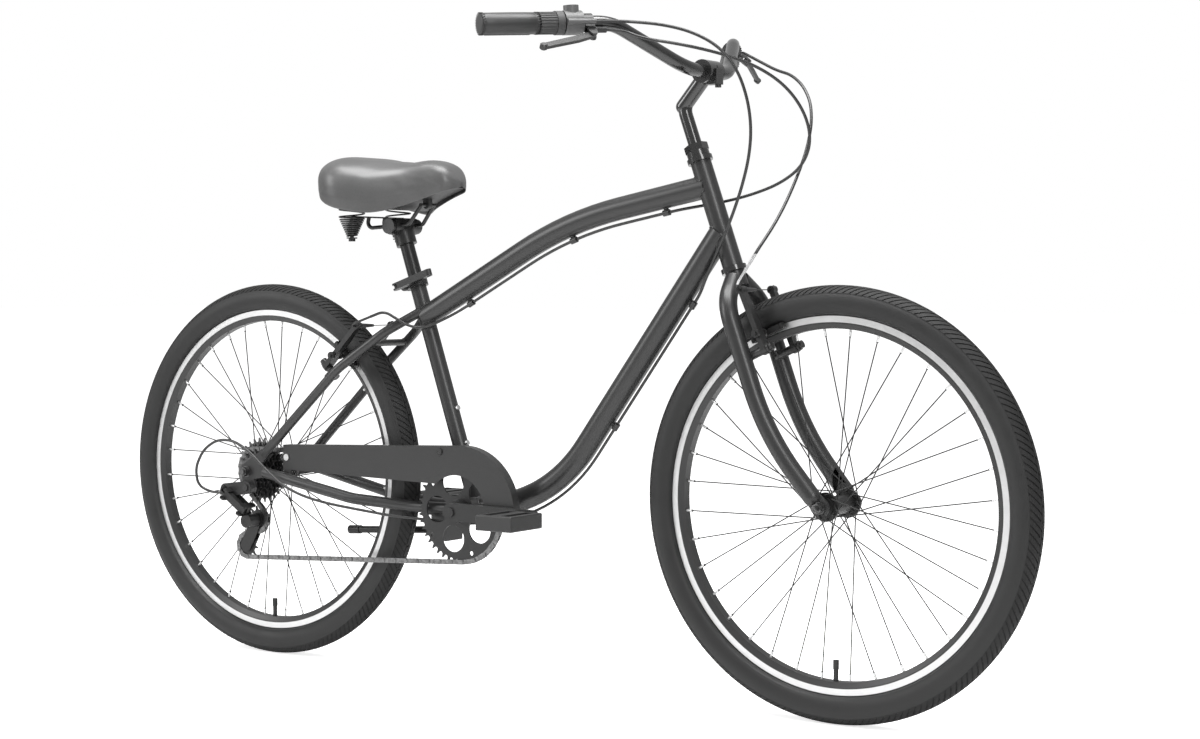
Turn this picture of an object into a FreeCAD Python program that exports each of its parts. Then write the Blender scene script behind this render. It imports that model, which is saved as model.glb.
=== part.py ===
import FreeCAD, Part
import math
import os

# A beach cruiser bicycle in millimetres: +X forward, +Y to the rider's left, +Z up.
# The origin is on the ground, midway between the two axles. The drive side is -Y.

V = FreeCAD.Vector
UP = V(0, 0, 1)
LEFT = V(0, 1, 0)

# Fits and clearances
running_gap = 0.05
press_gap = 0.03
clear_gap = 0.3
cut_over = 2.0

# Wheels
wheelbase = 1189.0
tyre_outer_r = 345.0
tyre_section_r = 26.5
tyre_wall = 3.0
tyre_bead_width = 3.4
tyre_shoulder = 1.6
tyre_sit_share = 0.7
rim_width = 25.0
rim_flange = 1.6
rim_bead_drop = 7.0
rim_well = 2.0
rim_track = 13.0
rim_depth = 21.0
rim_foot_width = 16.0
rim_wall = 1.6
inner_tube_r = 20.2
inner_tube_wall = 1.2
inner_tube_rise = 2.0
valve_r = 4.0
valve_reach = 40.0
valve_cap_r = 4.7
valve_cap_length = 14.0
spokes_per_flange = 18
spoke_crossings = 3
spoke_r = 1.0
spoke_elbow_r = 1.3
spoke_stand_off = 2.3
spoke_side_step = 2.0
spoke_turn_deg = 5.0
nipple_r = 2.0
nipple_length = 12.0
nipple_gap = 0.45
flange_thickness = 4.0
flange_lip = 4.0
cone_r = 8.0
cone_seat_length = 9.0
axle_nut_flats = 15.0
axle_nut_length = 9.0
axle_washer_r = 10.0
axle_washer_length = 2.0

# Front hub
front_axle_r = 4.5
front_axle_half = 77.0
front_lock_half = 50.0
front_flange_half = 36.0
front_flange_r = 19.0
front_barrel_r = 15.0
front_hub_half = 41.0

# Rear hub and freewheel
rear_axle_r = 5.0
rear_axle_half = 88.0
rear_lock_half = 67.5
rear_left_flange = 34.0
rear_right_flange = 19.0
rear_flange_r = 22.0
rear_barrel_r = 18.0
rear_left_end = 50.0
freewheel_seat_r = 17.0
freewheel_seat_end = 62.0
freewheel_core_r = 23.5
cog_teeth = (14, 16, 18, 20, 22, 24, 28)
chain_cog = 3
cog_step = 5.0
cog_thickness = 2.0
spoke_guard_r = 76.0
spoke_guard_thickness = 1.5
spoke_guard_hole_r = 26.0

# Frame
chainstay_length = 482.0
bb_drop = 47.0
seat_angle_deg = 71.2
head_angle_deg = 70.0
fork_rake = 50.6
head_tube_low = 397.0
head_tube_length = 181.0
head_tube_r = 17.0
head_tube_wall = 1.9
seat_tube_length = 423.0
seat_post_r = 12.7
seat_tube_wall = 1.55
bb_shell_r = 20.0
bb_shell_wall = 2.6
bb_shell_half = 34.0
tube_wall = 1.5
top_tube_r = 19.0
top_tube_seat_at = 353.6
top_tube_head_at = 536.6
top_tube_rear_deg = 27.9
top_tube_front_deg = 10.8
top_tube_bend_r = 710.0
down_tube_r = 20.0
down_tube_head_at = 458.6
down_tube_deg = 53.4
down_tube_foot_deg = 11.4
down_tube_bend_r = 280.0
seatstay_r = 8.5
seatstay_end_ahead = 40.0
seatstay_end_above = 33.0
seatstay_knee_ahead = 214.0
seatstay_knee_above = 194.0
seatstay_knee_half = 64.0
seatstay_shoulder_ahead = 306.0
seatstay_shoulder_above = 260.0
seatstay_shoulder_half = 44.0
seatstay_top_at = 364.0
seatstay_top_half = 9.0
seatstay_knee_r = 105.0
seatstay_shoulder_r = 95.0
stay_bridge_r = 6.0
stay_bridge_share = 0.7
chainstay_r = 10.0
chainstay_end_ahead = 42.0
chainstay_knee_ahead = 240.0
chainstay_knee_drop = 38.0
chainstay_knee_half = 56.0
chainstay_bend_behind_bb = 118.0
chainstay_bend_half = 33.0
chainstay_root_half = 22.0
chainstay_knee_r = 150.0
chainstay_bend_r = 150.0
dropout_thickness = 6.0
dropout_r = 16.0
dropout_stay_r = 9.0
dropout_slot = 30.0
hanger_ahead = 8.0
hanger_drop = 29.0
hanger_r = 11.0

# Headset
steerer_r = 12.7
steerer_wall = 1.5
headset_cup_r = 21.0
headset_cup_height = 8.0
headset_race_r = 16.0
headset_locknut_flats = 34.0
headset_locknut_height = 12.0
headset_cone_height = 10.0

# Fork
fork_leg_r = 14.5
fork_leg_wall = 1.8
fork_half = 58.0
fork_tip_half = 55.0
fork_crown_at = 376.0
fork_crown_half = 11.0
fork_shoulder_at = 336.0
fork_shoulder_r = 68.0
fork_bend_at = 118.0
fork_bend_r = 430.0
fork_tip_at = 2.0
fork_tip_ahead = 43.0
fork_dropout_r = 15.0
fork_tip_r = 12.0
steerer_low_at = 364.0

# Stem and handlebar
bar_r = 11.1
bar_wall = 2.0
bar_clamp_rise = 54.0
bar_clamp_ahead = 47.0
stem_bend_at = 675.0
stem_bend_r = 26.0
stem_quill_depth = 96.0
stem_arm_r = 12.5
stem_clamp_r = 19.0
stem_clamp_half = 21.0
stem_bolt_r = 3.0
stem_bolt_drop = 25.0
stem_bolt_head_r = 5.0
stem_wedge_length = 26.0
expander_bolt_r = 4.0
bar_knee_half = 62.0
bar_shoulder_half = 185.0
bar_shoulder_back = 64.0
bar_shoulder_rise = 66.0
bar_sweep_deg = 32.74
bar_droop_deg = 3.17
bar_bend_room = 10.0
bar_knee_r = 100.0
bar_shoulder_r = 95.0
grip_r = 17.0
grip_cap = 3.0
grip_left_length = 130.0
grip_right_length = 92.0
twist_r = 16.5
twist_length = 39.0
twist_ribs = 24
twist_rib_r = 1.1
twist_rib_share = 0.7
shifter_r = 19.0
shifter_length = 30.0
shifter_hump = 8.0
shifter_hump_width = 24.0
shifter_exit_offset = 21.5
shifter_exit_r = 4.5
shifter_exit_length = 16.0
control_gap = 2.0
left_lever_gap = 12.0
lever_tilt_deg = 40.0
lever_clamp_width = 15.0
lever_clamp_r = 14.5
lever_reach = 32.0
lever_neck_r = 8.0
lever_pivot_r = 6.5
lever_bracket_thickness = 13.0
lever_slot = 6.2
lever_slot_share = 0.72
lever_pin_r = 2.5
lever_thickness = 5.6
lever_root_r = 5.8
lever_knuckle_out = 30.0
lever_knuckle_reach = 12.0
lever_tip_out = 92.0
lever_tip_reach = 30.0
lever_mid_r = 6.0
lever_tip_r = 5.0
lever_ball_r = 6.0
lever_ball_flat_r = 4.0
lever_ball_width = 6.4
lever_ball_chamfer = 1.8
adjuster_offset = 20.0
adjuster_r = 4.6
adjuster_length = 26.0

# Brakes
rear_brake_deg = 46.0
front_brake_deg = 114.9
brake_half = 48.0
brake_pad_height = 27.0
brake_arm_length = 102.0
brake_arm_foot_r = 9.0
brake_arm_top_r = 6.0
brake_arm_out = 6.0
brake_arm_thickness = 9.0
brake_boss_r = 8.0
brake_boss_end = 19.7
brake_stud_r = 4.0
brake_stud_base_r = 7.0
brake_stud_base_end = 4.0
brake_stud_end = 20.0
brake_bolt_r = 6.5
brake_bolt_length = 5.0
brake_lug_r = 6.5
brake_lug_length = 13.0
pad_gap = 2.3
pad_depth = 10.0
pad_length = 62.0
pad_height = 9.0
pad_holder = 2.4
pad_holder_share = 0.8
pad_post_r = 3.0
pad_post_end = 17.0
pad_washer_r = 7.0
pad_washer_length = 5.0
rear_stud_back = 19.0
front_stud_back = 28.0

# Cables and guides
cable_r = 2.5
cable_lead = 28.0
cable_end_run = 16.0
cable_side_step = 12.0
cable_bend_share = 0.45
wire_r = 0.8
noodle_r = 2.2
noodle_bend_r = 20.0
noodle_bend_share = 0.7
noodle_lead = 26.0
front_noodle_shares = (0.45, 0.25, 0.85)
rear_noodle_shares = (0.85, 0.3, 0.35)
boot_r = 4.5
boot_tip_r = 2.6
boot_length = 34.0
boot_bore_r = 1.2
guide_r = 5.2
guide_length = 12.0
guide_stalk_r = 3.0
guide_drop = 4.5
top_guide_shares = (0.69, 0.29)
down_guide_shares = (0.228, 0.68)
foot_guide_share = 0.7
seat_pass_out = 11.0
seat_pass_drop = 26.0
bb_pass_behind = 10.0
bb_pass_side = 26.0

# Cable routes: x, y, z from the middle of the bar clamp, or from the rear axle
front_brake_route = ((31, 166, 14), (71, 146, 3), (104, 127, -18), (127, 111, -47), (138, 95, -83),
                     (140, 76, -125), (136, 51, -171), (134, 18, -214), (133, -18, -250))
rear_brake_route = ((-7, -185, 38), (38, -141, 30), (78, -88, 18), (117, -45, 0), (148, -6, -30),
                    (166, 24, -72), (168, 40, -116), (148, 47, -154), (109, 47, -180), (59, 44, -197),
                    (8, 34, -209))
shift_route = ((-31, -176, 66), (7, -147, 62), (48, -125, 50), (86, -109, 27), (109, -93, -7),
               (119, -78, -50), (118, -63, -95), (110, -55, -140), (93, -48, -187), (71, -40, -231),
               (47, -31, -271), (20, -20, -311))
rear_shift_route = ((394, -38, -68), (332, -55, -64), (264, -66, -56), (200, -80, -47), (146, -86, -36),
                    (97, -89, -17), (58, -91, 12), (21, -92, 41), (-18, -92, 58), (-59, -92, 57),
                    (-94, -92, 36), (-114, -91, 2), (-113, -86, -30))

# Drive
chain_pitch = 12.7
chain_links = 124
roller_r = 3.85
chain_pin_r = 1.8
chain_plate_r = 4.2
chain_plate_thickness = 0.9
chain_inner_half = 1.3
chain_plate_gap = 0.15
chain_pin_proud = 0.2
tooth_rise = 3.6
tooth_tip_half = 1.1
chainline = 47.5
chainring_teeth = 44
chainring_thickness = 2.5
chainring_bore_r = 16.0
chainring_windows = 5
chainring_window_r = 23.5
chainring_window_at = 51.5
chainring_hole_r = 4.0
chainring_hole_at = 76.0
crank_length = 170.0
crank_r = 16.0
crank_tip_r = 13.0
crank_thickness = 12.0
crank_right_inner = 66.0
crank_left_inner = 60.0
bb_axle_r = 8.5
bb_cup_lip_r = 21.0
bb_cup_lip = 4.0
bb_cup_depth = 18.0
crank_cap_r = 9.0
crank_cap_length = 3.0
pedal_axle_r = 5.0
pedal_inner_gap = 14.0
pedal_width = 88.0
pedal_length = 74.0
pedal_height = 26.0
pedal_rail = 10.0
pedal_cheek = 8.0
pedal_barrel_r = 10.0
pedal_reflector_depth = 3.0
pedal_reflector_height = 12.0
pedal_reflector_width = 50.0

# Chain guard
guard_at = 61.0
guard_thickness = 1.5
guard_lip = 16.0
guard_rear_ahead = 80.0
guard_rear_above = 52.0
guard_rear_height = 45.0
guard_outer_r = 114.0
guard_inner_r = 63.0
guard_centre_ahead = 12.0
guard_end_drop = 8.0
guard_meet_share = 0.85
guard_tab_r = 8.0
guard_tab_thickness = 3.0
guard_bolt_r = 3.0
guard_bolt_head_r = 6.0
guard_bolt_head = 2.5
guard_bolt_inset = 9.0
guard_bolt_depth = 6.0
guard_post_at = 108.0
guard_post_r = 4.5

# Derailleur
guide_pulley_ahead = 4.0
guide_pulley_drop = 91.0
pulley_gap = 56.0
cage_low_deg = -170.0
cage_high_deg = -60.0
pulley_teeth = 11
pulley_thickness = 2.2
pulley_bolt_r = 3.0
pulley_hub_r = 7.0
cage_inside_half = 4.6
cage_plate = 1.6
cage_plate_r = 12.5
cage_shaft_r = 5.0
cage_shaft_end = 82.0
knuckle_barrel_r = 12.5
knuckle_barrel_start = 57.0
link_rear_behind = 34.0
link_rear_drop = 42.0
link_front_ahead = 6.0
link_front_drop = 69.0
link_outer_at = 91.0
link_inner_at = 77.0
link_r = 5.0
link_height = 14.0
link_pin_r = 2.5
link_ear = 3.0
link_ear_r = 6.0
link_ear_over = 6.0
mount_thickness = 12.0
mount_r = 12.0
hanger_bolt_r = 4.0
hanger_bolt_head_r = 6.0
stop_r = 4.5
stop_length = 14.0

# Kickstand
kickstand_behind_bb = 75.0
kickstand_plate_length = 40.0
kickstand_plate_half = 32.0
kickstand_weld = 1.0
kickstand_plate_thickness = 4.0
kickstand_block_length = 34.0
kickstand_block_width = 46.0
kickstand_block_height = 47.0
kickstand_block_shift = 8.0
kickstand_axis_deg = 25.0
kickstand_rest_deg = 4.0
kickstand_pivot_left = 42.0
kickstand_pivot_drop = 35.0
kickstand_pin_r = 5.0
kickstand_eye_r = 10.0
kickstand_eye_width = 9.0
kickstand_leg_r = 6.5
kickstand_length = 262.0
kickstand_foot_r = 8.0
kickstand_foot_length = 26.0
kickstand_bolt_r = 5.0

# Seat
seat_collar_height = 18.0
seat_collar_thickness = 4.5
seat_collar_top_at = 427.0
seat_slit = 3.0
collar_ear_r = 8.0
collar_ear_back = 24.0
collar_ear_half = 9.0
skewer_r = 3.0
skewer_half = 29.0
skewer_nut_r = 8.0
skewer_nut_length = 8.0
seat_lever_r = 7.0
seat_lever_tip_r = 6.0
seat_lever_length = 76.0
seat_lever_thickness = 12.0
seat_lever_slot_r = 9.0
seat_lever_eye_r = 3.6
seat_lever_pin_r = 4.2
seat_post_low_at = 290.0
seat_post_top_at = 516.0
seat_post_wall = 2.4
saddle_length = 268.0
saddle_half = 112.0
saddle_depth = 106.0
saddle_ahead = 178.0
saddle_above = 469.0
saddle_place_shares = (0.02, 0.07, 0.2, 0.34, 0.485, 0.63, 0.795, 0.92, 0.99)
saddle_width_shares = (0.62, 0.85, 1.0, 0.965, 0.785, 0.52, 0.375, 0.32, 0.21)
saddle_top_shares = (0.8, 0.93, 1.0, 0.95, 0.86, 0.845, 0.885, 0.84, 0.7)
saddle_low_shares = (0.4, 0.275, 0.13, 0.05, 0.015, 0.105, 0.243, 0.342, 0.375)
saddle_crown_share = 0.86
saddle_crown_drop_share = 0.28
saddle_bulge_drop_share = 0.62
saddle_hem_share = 0.92
saddle_recess_share = 0.86
saddle_recess = 10.0
saddle_base_thickness = 3.0
saddle_base_trim = 12.0
saddle_pivot_share = 0.716
saddle_pivot_drop = 10.0
saddle_lug_r = 6.5
saddle_lug_half = 5.0
saddle_pin_half = 20.0
rail_r = 3.5
rail_front_share = 0.614
rail_rear_share = 0.261
rail_front_half = 17.0
rail_half = 22.0
rail_above = 448.0
rail_tilt = 6.0
rail_bend_r = 10.0
saddle_clamp_ahead = 312.0
saddle_clamp_r = 15.0
saddle_clamp_half = 33.0
saddle_socket_r = 18.5
saddle_socket_low_at = 488.0
saddle_bolt_r = 5.0
saddle_bolt_head_r = 13.5
saddle_bolt_head = 7.0
spring_top_r = 22.5
spring_foot_r = 8.5
spring_wire_r = 1.5
spring_turns = 9
spring_pitch = 3.6
spring_open_turns = 1.5
spring_open_pitch = 13.0
spring_half = 64.0
spring_ahead = 249.0
spring_bolt_r = 3.5
spring_washer_r = 9.5
spring_washer_thickness = 2.0
spring_bolt_head_r = 6.0
spring_bolt_head = 5.0
strip_thickness = 2.4
strip_width = 12.0
strip_end = 9.0

# Bottle bolts
bottle_bolt_low_at = 116.0
bottle_bolt_pitch = 64.0
bottle_bolt_r = 2.5
bottle_bolt_head_r = 4.5
bottle_bolt_head = 3.5

# Kickstand bolt
kickstand_bolt_head_r = 9.0
kickstand_bolt_head = 6.0

# Places worked out from the sizes
axle_height = tyre_outer_r
rim_edge_r = tyre_outer_r - tyre_section_r * (1 + tyre_sit_share) - tyre_shoulder - clear_gap
rear = V(-wheelbase / 2, 0, axle_height)
front = V(wheelbase / 2, 0, axle_height)
bb = rear + V(math.sqrt(chainstay_length ** 2 - bb_drop ** 2), 0, -bb_drop)


def heading(degrees):
    """Unit vector in the XZ plane, measured from +X towards +Z."""
    return V(math.cos(math.radians(degrees)), 0, math.sin(math.radians(degrees)))


seat_up = heading(180 - seat_angle_deg)
seat_ahead = heading(90 - seat_angle_deg)
head_up = heading(180 - head_angle_deg)
head_ahead = heading(90 - head_angle_deg)
steer_foot = front - V(fork_rake / math.sin(math.radians(head_angle_deg)), 0, 0)
head_tube_top = head_tube_low + head_tube_length
seat_bore_r = seat_post_r + running_gap
seat_tube_r = seat_post_r + seat_tube_wall


def on_seat(distance):
    """Point on the seat-tube axis, measured up from the bottom bracket."""
    return bb + seat_up * distance


def on_head(distance):
    """Point on the steering axis, measured up from axle height."""
    return steer_foot + head_up * distance


def in_fork(ahead, left, along):
    """Point in the fork's own directions: ahead of the steering axis, left, up along it."""
    return steer_foot + head_ahead * ahead + LEFT * left + head_up * along


def unit(vector):
    return V(vector).normalize()


def across(axis):
    """A unit vector square to the axis."""
    helper = V(1, 0, 0) if abs(unit(axis).x) < 0.9 else UP
    return unit(axis.cross(helper))


def meet(first, first_way, second, second_way):
    """Meeting point of two lines in the XZ plane."""
    gap = second - first
    turn = first_way.x * second_way.z - first_way.z * second_way.x
    share = (gap.x * second_way.z - gap.z * second_way.x) / turn
    return first + first_way * share


def fused(shapes):
    return shapes[0].multiFuse(shapes[1:]).removeSplitter()


def cylinder(start, end, radius):
    return Part.makeCylinder(radius, (end - start).Length, start, end - start)


def ring(start, end, outer_r, inner_r):
    return cylinder(start, end, outer_r).cut(cylinder(start, end, inner_r))


def longer(start, end, extra):
    """The two ends of a line pushed apart by the extra at each end."""
    way = unit(end - start)
    return start - way * extra, end + way * extra


def bore(start, end, radius):
    """Cutter that overruns both ends."""
    first, last = longer(start, end, cut_over)
    return cylinder(first, last, radius)


def block(centre, size_x, size_y, size_z):
    return Part.makeBox(size_x, size_y, size_z, centre - V(size_x / 2, size_y / 2, size_z / 2))


def hexagon(start, end, flats):
    """Hexagonal bar between two points."""
    along = end - start
    first = across(along)
    second = unit(along).cross(first)
    corner_r = flats / 2 / math.cos(math.pi / 6)
    turns = [math.radians(60 * index) for index in range(7)]
    points = [start + (first * math.cos(a) + second * math.sin(a)) * corner_r for a in turns]
    return Part.Face(Part.makePolygon(points)).extrude(along)


def strap(first, second, first_r, second_r, depth):
    """Flat link with round ends about two points, extruded by the depth vector."""
    along = unit(second - first)
    side = unit(depth).cross(along)
    slope = math.acos((first_r - second_r) / (second - first).Length)
    upper = along * math.cos(slope) + side * math.sin(slope)
    lower = along * math.cos(slope) - side * math.sin(slope)
    edges = [
        Part.makeLine(first + upper * first_r, second + upper * second_r),
        Part.Arc(second + upper * second_r, second + along * second_r, second + lower * second_r).toShape(),
        Part.makeLine(second + lower * second_r, first + lower * first_r),
        Part.Arc(first + lower * first_r, first - along * first_r, first + upper * first_r).toShape(),
    ]
    return Part.Face(Part.Wire(edges)).extrude(depth)


def turned(centre, outline):
    """Solid turned about the Y axis through the centre; the outline holds (y, radius) pairs."""
    points = [centre + V(0, y, radius) for y, radius in outline]
    return Part.Face(Part.makePolygon(points + points[:1])).revolve(centre, LEFT, 360)


def corner_arc(first, corner, last):
    """Arc tangent to both runs; the corner is as far from the first point as from the last."""
    reach = (corner - first).Length
    half_turn = (corner - first).getAngle(last - corner) / 2
    radius = reach / math.tan(half_turn)
    inward = unit(unit(last - corner) - unit(corner - first))
    middle = corner + inward * (radius / math.cos(half_turn) - radius)
    return Part.Arc(first, middle, last).toShape()


def rounded_path(points, radii):
    """Wire of straight runs joined by tangent arcs."""
    edges = []
    start = points[0]
    for before, corner, after, radius in zip(points, points[1:], points[2:], radii):
        into = unit(corner - before)
        out = unit(after - corner)
        reach = radius * math.tan(into.getAngle(out) / 2)
        edges.append(Part.makeLine(start, corner - into * reach))
        start = corner + out * reach
        edges.append(corner_arc(corner - into * reach, corner, start))
    edges.append(Part.makeLine(start, points[-1]))
    return Part.Wire(edges)


def swept(path, start, way, radius):
    """Round bar swept along a wire."""
    circle = Part.Wire(Part.makeCircle(radius, start, way))
    return path.makePipeShell([circle], True, False)


def bent_bar(points, radii, radius):
    return swept(rounded_path(points, radii), points[0], points[1] - points[0], radius)


def cable_radii(points):
    """Bend radii as large as the runs of a cable allow."""
    radii = []
    for before, corner, after in zip(points, points[1:], points[2:]):
        shorter = min((corner - before).Length, (after - corner).Length)
        turn = (corner - before).getAngle(after - corner)
        radii.append(cable_bend_share * shorter / math.tan(turn / 2))
    return radii


def cable(name, points, radius):
    """Tube along a route of straight runs and the largest tangent arcs."""
    radii = cable_radii(points)
    path = rounded_path(points, radii)
    solid = swept(path, points[0], points[1] - points[0], radius)
    print(name, "least bend", round(min(radii), 1), "length", round(path.Length, 1),
          "volume share", round(solid.Volume / (math.pi * radius ** 2 * path.Length), 4))
    return solid


def mirrored(shape):
    return shape.mirror(V(0, 0, 0), LEFT)


# Wheels


def rim(centre):
    """Hollow rim with machined brake tracks and a valve hole."""
    half = rim_width / 2
    foot = rim_foot_width / 2
    inner = half - rim_flange
    foot_r = rim_edge_r - rim_depth
    bed_r = rim_edge_r - rim_bead_drop
    outline = [
        (half, rim_edge_r), (half, rim_edge_r - rim_track), (foot, foot_r),
        (-foot, foot_r), (-half, rim_edge_r - rim_track), (-half, rim_edge_r),
        (-inner, rim_edge_r), (-inner, bed_r), (0, bed_r - rim_well), (inner, bed_r), (inner, rim_edge_r),
    ]
    roof_r = bed_r - rim_well - rim_wall
    hollow = [
        (inner, roof_r), (foot - rim_wall / 2, foot_r + rim_wall),
        (rim_wall / 2 - foot, foot_r + rim_wall), (-inner, roof_r),
    ]
    hole = bore(centre - UP * bed_r, centre - UP * foot_r, valve_r + clear_gap)
    return turned(centre, outline).cut(turned(centre, hollow)).cut(hole)


def tyre(centre):
    """Tyre carcass with its two beads seated in the rim."""
    middle_r = tyre_outer_r - tyre_section_r
    bead = rim_width / 2 - rim_flange - clear_gap
    bead_in = bead - tyre_bead_width
    seat_r = rim_edge_r - rim_bead_drop + clear_gap
    edge_r = rim_edge_r + clear_gap
    shoulder_r = edge_r + tyre_shoulder
    inner_section_r = tyre_section_r - tyre_wall

    def on_section(section_r, share):
        """Point on a section circle; share 0 is at the shoulder, 1 at the crown."""
        low = -math.asin((middle_r - shoulder_r) / section_r)
        angle = low + (math.pi / 2 - low) * share
        return section_r * math.cos(angle), middle_r + section_r * math.sin(angle)

    def spot(pair, side):
        return centre + V(0, side * pair[0], pair[1])

    def side_edges(section_r, side):
        return Part.Arc(spot(on_section(section_r, 0), side), spot(on_section(section_r, 0.5), side),
                        spot(on_section(section_r, 1), side)).toShape()

    edges = []
    for side in (1, -1):
        outer_start = spot(on_section(tyre_section_r, 0), side)
        inner_start = spot(on_section(inner_section_r, 0), side)
        corners = [outer_start] + [spot(pair, side) for pair in (
            (bead, edge_r), (bead, seat_r), (bead_in, seat_r), (bead_in, edge_r))] + [inner_start]
        edges += [Part.makeLine(a, b) for a, b in zip(corners, corners[1:])]
        edges += [side_edges(tyre_section_r, side), side_edges(inner_section_r, side)]
    return Part.Face(Part.Wire(Part.__sortEdges__(edges))).revolve(centre, LEFT, 360)


def inner_tube(centre):
    """Inflated inner tube with its valve and cap at the bottom of the wheel."""
    ring_r = tyre_outer_r - tyre_section_r + inner_tube_rise
    tube = Part.makeTorus(ring_r, inner_tube_r, centre, LEFT)
    hollow = Part.makeTorus(ring_r, inner_tube_r - inner_tube_wall, centre, LEFT)
    stem_top = centre - UP * (ring_r - inner_tube_r + inner_tube_wall / 2)
    stem_end = centre - UP * (rim_edge_r - valve_reach)
    stem = cylinder(stem_end, stem_top, valve_r)
    cap = cylinder(stem_end + UP * valve_cap_length, stem_end, valve_cap_r)
    return fused([tube.cut(hollow), stem, cap])


def hub_spokes(centre, flanges, flange_r):
    """Spokes laced between the hub flanges and the rim, each with its nipple."""
    solids = []
    foot_r = rim_edge_r - rim_depth
    step = 360.0 / spokes_per_flange
    for side, flange_y in flanges:
        for index in range(spokes_per_flange):
            lean = 1 if index % 2 else -1
            hub_deg = spoke_turn_deg + step * index + (step / 2 if side > 0 else 0)
            rim_deg = hub_deg + lean * spoke_crossings * step
            face_y = flange_y + lean * flange_thickness / 2
            line_y = face_y + lean * (spoke_r + spoke_stand_off)
            start = centre + heading(hub_deg) * flange_r + LEFT * line_y
            rim_end = centre + heading(rim_deg) * (foot_r - nipple_gap) + LEFT * (side * spoke_side_step)
            neck = rim_end - unit(rim_end - start) * nipple_length
            elbow = cylinder(V(start.x, face_y, start.z), start + LEFT * (lean * spoke_r / 2), spoke_elbow_r)
            solids.append(fused([elbow, cylinder(start, neck, spoke_r)]))
            solids.append(cylinder(neck, rim_end, nipple_r))
    return solids


def front_hub():
    """Turned hub shell with two flanges, running on the axle cones."""
    flange_out = front_flange_r + flange_lip
    low = front_flange_half - flange_thickness / 2
    high = front_flange_half + flange_thickness / 2
    seat_r = cone_r + running_gap
    inner_r = front_axle_r + 4 * clear_gap
    seat_in = front_hub_half - cone_seat_length
    right = [(front_hub_half, seat_r), (front_hub_half, front_barrel_r), (high, front_barrel_r),
             (high, flange_out), (low, flange_out), (low, front_barrel_r)]
    outline = right + [(-y, r) for y, r in reversed(right)]
    outline += [(-seat_in, seat_r), (-seat_in, inner_r), (seat_in, inner_r), (seat_in, seat_r)]
    return turned(front, outline)


def rear_hub():
    """Hub shell with the freewheel seat on its right end."""
    flange_out = rear_flange_r + flange_lip
    half = flange_thickness / 2
    seat_r = cone_r + running_gap
    inner_r = rear_axle_r + 4 * clear_gap
    outline = [
        (rear_left_end, seat_r), (rear_left_end, rear_barrel_r), (rear_left_flange + half, rear_barrel_r),
        (rear_left_flange + half, flange_out), (rear_left_flange - half, flange_out),
        (rear_left_flange - half, rear_barrel_r), (half - rear_right_flange, rear_barrel_r),
        (half - rear_right_flange, flange_out), (-half - rear_right_flange, flange_out),
        (-half - rear_right_flange, freewheel_seat_r), (-freewheel_seat_end, freewheel_seat_r),
        (-freewheel_seat_end, seat_r), (cone_seat_length - freewheel_seat_end, seat_r),
        (cone_seat_length - freewheel_seat_end, inner_r), (rear_left_end - cone_seat_length, inner_r),
        (rear_left_end - cone_seat_length, seat_r),
    ]
    return turned(rear, outline)


def axle_set(centre, radius, half, lock_half, inner_ends, plate):
    """Axle with its cones, and a washer and nut outside each dropout."""
    parts = [cylinder(centre - LEFT * half, centre + LEFT * half, radius)]
    for side, inner_end in zip((1, -1), inner_ends):
        parts.append(cylinder(centre + LEFT * (side * inner_end), centre + LEFT * (side * lock_half), cone_r))
    solids = [fused(parts)]
    for side in (1, -1):
        face = lock_half + plate
        washer_end = face + axle_washer_length
        washer = cylinder(centre + LEFT * (side * face), centre + LEFT * (side * washer_end), axle_washer_r)
        nut = hexagon(centre + LEFT * (side * washer_end),
                      centre + LEFT * (side * (washer_end + axle_nut_length)), axle_nut_flats)
        hole = bore(centre + LEFT * (side * face), centre + LEFT * (side * half), radius + press_gap)
        solids.append(fused([washer, nut]).cut(hole))
    return solids


def spoke_guard():
    """Thin disc between the freewheel and the spokes."""
    outer = rear_right_flange + flange_thickness / 2 + spoke_stand_off + 3 * spoke_r + clear_gap
    start = rear - LEFT * outer
    end = rear - LEFT * (outer + spoke_guard_thickness)
    disc = ring(start, end, spoke_guard_r, freewheel_seat_r + press_gap)
    holes = [bore(start + heading(60 * i) * (spoke_guard_r - spoke_guard_hole_r), end + heading(60 * i)
                  * (spoke_guard_r - spoke_guard_hole_r), flange_lip) for i in range(6)]
    return disc.cut(Part.makeCompound(holes))


# Chain path


def pitch_radius(teeth):
    return chain_pitch * teeth / (2 * math.pi)


guide_centre = rear + V(guide_pulley_ahead, 0, -guide_pulley_drop)


def tension_centre(cage_deg):
    return guide_centre + heading(cage_deg) * pulley_gap


def chain_wheels(cage_deg):
    """The wheels in the order that the chain meets them: centre, radius, turning sense."""
    pulley_r = pitch_radius(pulley_teeth)
    return [
        (rear, pitch_radius(cog_teeth[chain_cog]), -1),
        (bb, pitch_radius(chainring_teeth), -1),
        (tension_centre(cage_deg), pulley_r, -1),
        (guide_centre, pulley_r, 1),
    ]


def chain_segments(cage_deg):
    """Straight runs and arcs of the chain's pitch line, as (kind, length, values)."""
    wheels = chain_wheels(cage_deg)
    ways = []
    for (first, first_r, first_sense), (last, last_r, last_sense) in zip(wheels, wheels[1:] + wheels[:1]):
        gap = last - first
        tilt = math.asin((first_r * first_sense - last_r * last_sense) / gap.Length)
        ways.append(math.atan2(gap.z, gap.x) + tilt)
    segments = []
    for index, (centre, radius, sense) in enumerate(wheels):
        arrive = ways[index - 1] - sense * math.pi / 2
        leave = ways[index] - sense * math.pi / 2
        sweep = (sense * (leave - arrive)) % (2 * math.pi)
        segments.append(("arc", radius * sweep, (centre, radius, sense, arrive)))
        next_centre, next_r, next_sense = wheels[(index + 1) % len(wheels)]
        start = centre + heading(math.degrees(leave)) * radius
        end_angle = ways[index] - next_sense * math.pi / 2
        end = next_centre + heading(math.degrees(end_angle)) * next_r
        segments.append(("run", (end - start).Length, (start, end)))
    return segments


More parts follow.
